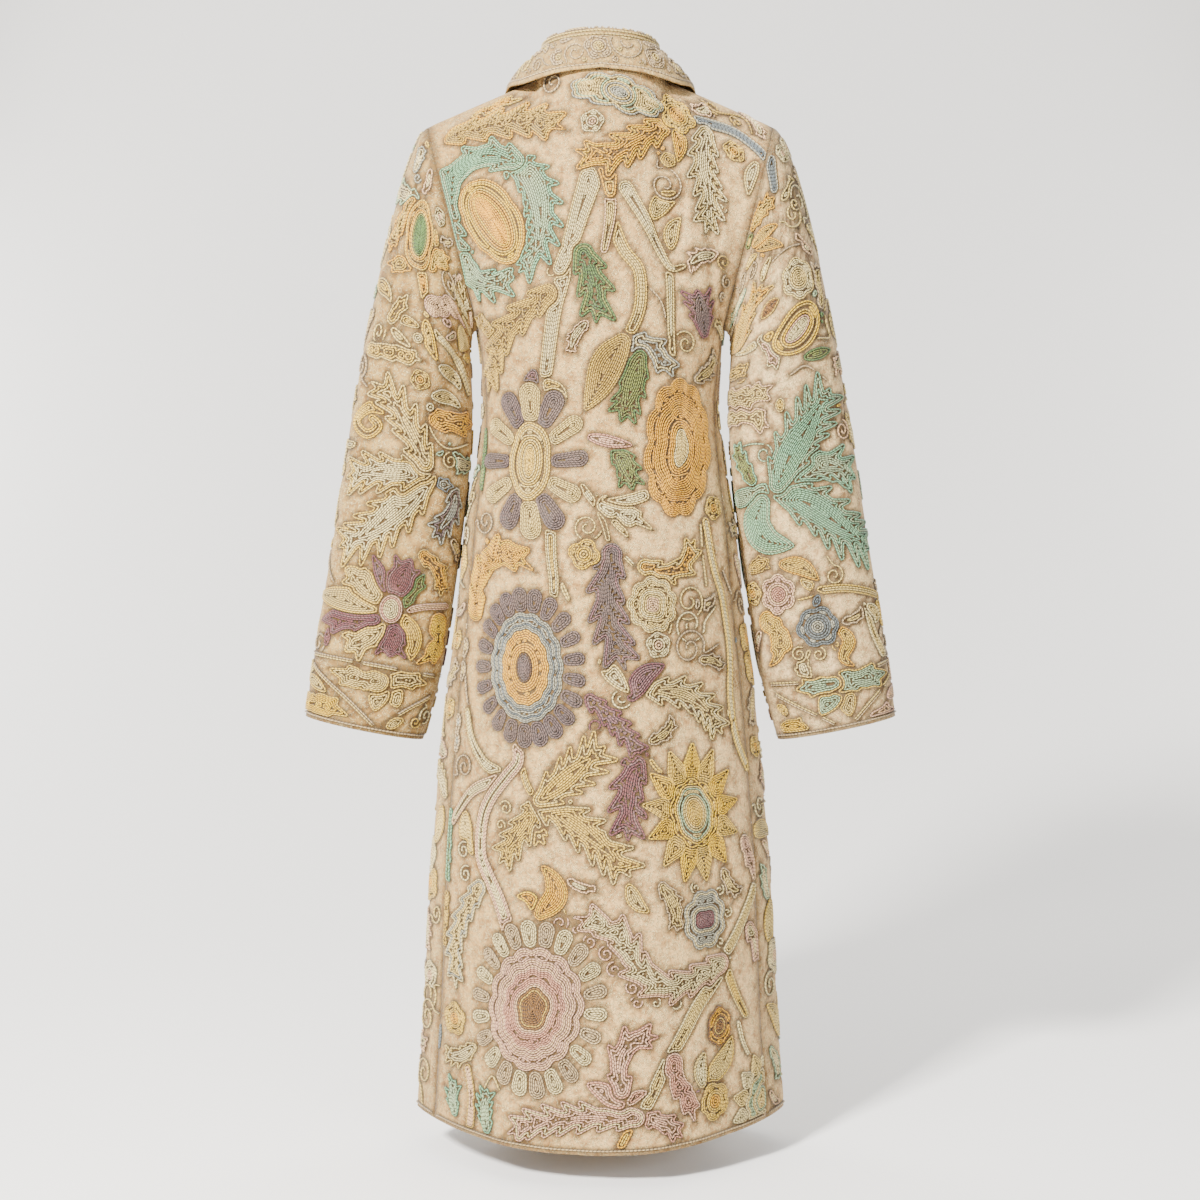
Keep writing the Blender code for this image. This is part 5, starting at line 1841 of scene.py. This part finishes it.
def mix_colour(tree, share, a, b, blend="MIX"):
    node = tree.nodes.new("ShaderNodeMix")
    node.data_type, node.blend_type = "RGBA", blend
    for socket, value in ((node.inputs[0], share), (node.inputs[6], a), (node.inputs[7], b)):
        feed(tree, socket, value)
    return node.outputs[2]


def tinted(tree, base, mask, share, tone, blend="MIX"):
    """A colour mixed towards a tone where a mask is high."""
    return mix_colour(tree, math_node(tree, "MULTIPLY", mask, share), base, tone, blend)


def noise(tree, scale, detail, stretch=(1.0, 1.0, 1.0), roughness=0.5):
    where = tree.nodes.new("ShaderNodeTexCoord")
    mapping = add_node(tree, "Mapping", Vector=where.outputs["Object"])
    mapping.inputs["Scale"].default_value = stretch
    vector = mapping.outputs["Vector"]
    node = add_node(tree, "TexNoise", Vector=vector, Scale=scale, Detail=detail, Roughness=roughness)
    return node.outputs["Fac"]


def ramp(tree, value, low, high):
    """A value carried from low and high to 0 and 1."""
    return add_node(tree, "MapRange", Value=value, From_Min=low, From_Max=high).outputs["Result"]


def bump(tree, height, distance, strength, **below):
    node = add_node(tree, "Bump", Height=height, Distance=distance, Strength=strength, **below)
    return node.outputs["Normal"]


def axes(tree, vector):
    """The three coordinates of a vector."""
    return tuple(add_node(tree, "SeparateXYZ", Vector=vector).outputs)


def attribute(tree, name):
    node = tree.nodes.new("ShaderNodeAttribute")
    node.attribute_name = name
    return node.outputs["Color"]


def new_material(name, roughness, sheen):
    material = bpy.data.materials.new(name)
    material.use_nodes = True
    shader = material.node_tree.nodes["Principled BSDF"]
    shader.inputs["Roughness"].default_value = roughness
    shader.inputs["Sheen Weight"].default_value = sheen
    shader.inputs["Sheen Roughness"].default_value = 0.5
    shader.inputs["Specular IOR Level"].default_value = 0.25
    return material, shader


def finish_material(material, shader, colour, normal):
    """Join a colour, its darker tones made deeper and purer, and a bumped normal to the shader."""
    tree = material.node_tree
    deepened = add_node(tree, "Gamma", Color=colour, Gamma=TONE_DEPTH).outputs["Color"]
    feed(tree, shader.inputs["Base Color"], deepened)
    feed(tree, shader.inputs["Normal"], normal)
    return material


def cloth_material(name, warm, cool):
    """Washed cotton: mottled warm and cool tones, crinkled pale lines and a fine weave."""
    material, shader = new_material(name, roughness=0.88, sheen=0.08)
    tree = material.node_tree
    x, _, z = axes(tree, tree.nodes.new("ShaderNodeTexCoord").outputs["Object"])
    drift = math_node(tree, "MULTIPLY_ADD", x, COOL_ACROSS, COOL_START)
    drift = math_node(tree, "SUBTRACT", drift, COOL_CLOUDS / 2)
    large = noise(tree, scale=9.0, detail=4.0)
    drift = math_node(tree, "MULTIPLY_ADD", large, COOL_CLOUDS, drift)
    drift = math_node(tree, "MULTIPLY_ADD", z, COOL_UP, drift)
    base = mix_colour(tree, ramp(tree, drift, 0.0, 1.0), warm, cool)
    # Pale clouds, dark blots, pale crinkles and a dark grain, from coarse to fine
    clouds = ramp(tree, noise(tree, scale=24.0, detail=5.0, roughness=0.6), 0.36, 0.68)
    base = tinted(tree, base, clouds, 0.30, PALE_CLOTH)
    blots = ramp(tree, noise(tree, scale=95.0, detail=5.0, roughness=0.65), 0.44, 0.70)
    base = tinted(tree, base, blots, 0.72, DEEP_CLOTH)
    crinkle = noise(tree, scale=150.0, detail=3.0, roughness=0.6)
    crinkle = math_node(tree, "ABSOLUTE", math_node(tree, "SUBTRACT", crinkle, 0.5))
    lines = ramp(tree, crinkle, CRINKLE_WIDTH, 0.0)
    base = tinted(tree, base, lines, 0.85, LINE_CLOTH)
    grain = ramp(tree, noise(tree, scale=420.0, detail=2.0), 0.42, 0.66)
    base = tinted(tree, base, grain, 0.30, DEEP_CLOTH)
    # Painted shade: the cloth darkened beside motifs and along seams
    base = tinted(tree, base, attribute(tree, "near"), CLOSE_SHADOW, SHADOW_CLOTH)
    warp = noise(tree, scale=THREAD_COUNT, detail=1.0, stretch=(1.0, 1.0, THREAD_STRETCH))
    weft = noise(tree, scale=THREAD_COUNT, detail=1.0, stretch=(THREAD_STRETCH, THREAD_STRETCH, 1.0))
    puckers = noise(tree, scale=55.0, detail=4.0)
    normal = bump(tree, math_node(tree, "ADD", warp, weft), distance=0.0005, strength=0.35)
    normal = bump(tree, lines, distance=0.0016, strength=0.8, Normal=normal)
    normal = bump(tree, puckers, distance=0.0040, strength=0.45, Normal=normal)
    return finish_material(material, shader, base, normal)


def thread_material(name):
    """Twisted thread in chain stitch: each link dips at its ends, darkened there by painted shade, and
    leans to both sides.
    """
    material, shader = new_material(name, roughness=0.72, sheen=0.20)
    tree = material.node_tree
    mottle = ramp(tree, noise(tree, scale=240.0, detail=2.0), 0.30, 0.72)
    colour = tinted(tree, attribute(tree, "thread"), mottle, 0.26, THREAD_LIGHT, "SOFT_LIGHT")
    fade = ramp(tree, noise(tree, scale=34.0, detail=3.0), 0.35, 0.72)
    colour = tinted(tree, colour, fade, 0.08, THREAD_FADE)
    uv = tree.nodes.new("ShaderNodeUVMap")
    uv.uv_map = "stitch"
    along, across, _ = axes(tree, uv.outputs["UV"])
    lean = math_node(tree, "ABSOLUTE", math_node(tree, "SUBTRACT", across, 0.5))
    link = math_node(tree, "PINGPONG", math_node(tree, "MULTIPLY_ADD", lean, LINK_LEAN, along), 0.5)
    groove = ramp(tree, link, 0.0, LINK_GROOVE)
    dip = math_node(tree, "SUBTRACT", 1.0, groove)
    # Painted shade: the thread darkened in the grooves at the links' ends
    colour = tinted(tree, colour, dip, 0.80, LINK_PAINTED_SHADE, "MULTIPLY")
    twist = math_node(tree, "MULTIPLY_ADD", lean, PLY_LEAN, along)
    ply = math_node(tree, "SINE", math_node(tree, "MULTIPLY", twist, PLY_PACE))
    normal = bump(tree, groove, distance=0.0008, strength=0.8)
    normal = bump(tree, ply, distance=0.0003, strength=0.4, Normal=normal)
    return finish_material(material, shader, colour, normal)


def plain_material(name, colour, roughness):
    material, shader = new_material(name, roughness, 0.0)
    shader.inputs["Base Color"].default_value = (*colour, 1.0)
    return material


# The scene


def make_stage():
    """A pale floor that curves up behind the coat."""
    profile = [(y, FLOOR_Z) for y in (FLOOR_REACH, FLOOR_REACH / 2, 0.0, BACKDROP_START)]
    for degrees in range(5, 91, 5):
        a = math.radians(degrees)
        away, up = BACKDROP_RADIUS * math.sin(a), BACKDROP_RADIUS * (1 - math.cos(a))
        profile.append((BACKDROP_START - away, FLOOR_Z + up))
    profile.append((BACKDROP_START - BACKDROP_RADIUS, FLOOR_Z + BACKDROP_TOP))
    points = [(x, y, z) for y, z in profile for x in (-STAGE_HALF, STAGE_HALF)]
    quads = np.array([(2 * i, 2 * i + 1, 2 * i + 3, 2 * i + 2) for i in range(len(profile) - 1)])
    floor = mesh_piece("floor", points, quads)
    floor.data.materials.append(plain_material("floor_paint", FLOOR_PAINT, 0.9))


def add_light(name, place, aim, size, power, colour):
    data = bpy.data.lights.new(name, "AREA")
    data.shape, data.size, data.energy, data.color = "SQUARE", size, power, colour
    light = bpy.data.objects.new(name, data)
    light.location = place
    light.rotation_euler = (Vector(aim) - Vector(place)).to_track_quat("-Z", "Y").to_euler()
    bpy.context.scene.collection.objects.link(light)


def make_camera_and_lights():
    frame_width = PHOTO_PIXELS * PIXEL
    data = bpy.data.cameras.new("camera")
    data.sensor_width = SENSOR
    data.lens = SENSOR * CAMERA_DISTANCE / frame_width
    middle_z = -(PHOTO_PIXELS / 2 - PHOTO_ORIGIN_Y) * PIXEL
    data.shift_y = (middle_z - CAMERA_Z) / frame_width
    camera = bpy.data.objects.new("camera", data)
    camera.location = ((PHOTO_CENTRE_X - PHOTO_PIXELS / 2) * PIXEL, CAMERA_DISTANCE, CAMERA_Z)
    camera.rotation_euler = (math.pi / 2, 0, math.pi)
    bpy.context.scene.collection.objects.link(camera)
    bpy.context.scene.camera = camera
    for light in LIGHTS:
        add_light(*light)
    world = bpy.data.worlds.new("studio")
    world.use_nodes = True
    background = world.node_tree.nodes["Background"]
    background.inputs["Color"].default_value = (*WORLD_COLOUR, 1.0)
    background.inputs["Strength"].default_value = WORLD_STRENGTH
    bpy.context.scene.world = world


def border_rows(panel, inset, edges):
    """Rows of stitches that follow a piece's edges."""
    ends = (inset, panel.length - inset)
    t = np.linspace(*ends, BORDER_POINTS)
    low, high = panel.sides(t)
    low, high = low + inset, high - inset
    lines = {"low": np.stack([low, t], axis=1), "high": np.stack([high, t], axis=1)}
    s = np.linspace(low[-1], high[-1], BORDER_POINTS)
    lines["hem"] = np.stack([s, np.full_like(s, ends[-1])], axis=1)
    for edge in edges:
        draw_stem(panel, stem_item(lines[edge], "linen"))


def roll_stitches(panel):
    """Topstitching along the collar's roll."""
    for down in ROLL_STITCHES:
        low, high = panel.sides(down)
        s = np.linspace(low + ROLL_STITCH_ENDS, high - ROLL_STITCH_ENDS, BORDER_POINTS)
        draw_stem(panel, stem_item(np.stack([s, np.full_like(s, down)], axis=1), "cream"))


def draw_all(panels):
    """Sew every motif, then what fills the gaps."""
    items = {piece: flat_items(piece, PhotoMap(panels[piece])) for piece in LEAVES}
    # The fronts take the back's other half, turned over at the centre line and a little higher.
    for name, side in (("front_left", -1), ("front_right", 1)):
        own = [item for item in items["back"] if side * centre_of(item)[0] > -FRONT_SHARE]
        items[name] = moved(own, lambda places, side=side: places * (side, 1) + (0, FRONT_SHIFT))
    # The front halves of the sleeves repeat their back halves, turned over.
    for name in ("sleeve_left", "sleeve_right"):
        whole = panels[name].s_high
        items[name] += moved(items[name], lambda places, whole=whole: places * (-1, 1) + (whole, 0))
    for name, panel in panels.items():
        if name == "collar":
            continue
        border_rows(panel, BORDER_INSET, ("low", "hem") if name.startswith("front") else ("hem",))
        for item in sorted(items[name], key=lambda item: DRAWING_ORDER.index(item["kind"])):
            DRAW[item["kind"]](panel, item)
    for index, (name, panel) in enumerate(panels.items()):
        if name == "collar":
            border_rows(panel, COLLAR_BORDER_INSET, ("low", "high", "hem"))
            roll_stitches(panel)
            fill_gaps(panel, COLLAR_SEED, TONE_MOTIFS)
        else:
            fill_gaps(panel, FIRST_SEED + index, SMALL_MOTIFS)


def centre_of(item):
    return item["at"] if "at" in item else item["line"].mean(axis=0)


def main():
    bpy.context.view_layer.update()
    make_stage()
    make_camera_and_lights()
    panels = make_panels()
    draw_all(panels)
    thread = thread_material("chain_stitch_thread")
    for name, panel in panels.items():
        slot = f"{name}_cloth"
        wall = COLLAR_CLOTH_WALL if name == "collar" else CLOTH_WALL
        cloth = weave(panel, cloth_material(slot, *CLOTH_TONES[name]), wall)
        stitches = embroider(panel, thread, EMBROIDERY_PARTS.get(name, 1))
        width = panel.s_high - panel.s_low
        round(min(flat_area(panel.grid), width * panel.length), 4)


def flat_area(grid):
    """The area of a grid of points, in square metres."""
    across = grid[:-1, 1:] - grid[:-1, :-1]
    down = grid[1:, :-1] - grid[:-1, :-1]
    return float(np.linalg.norm(np.cross(across, down), axis=-1).sum())


main()
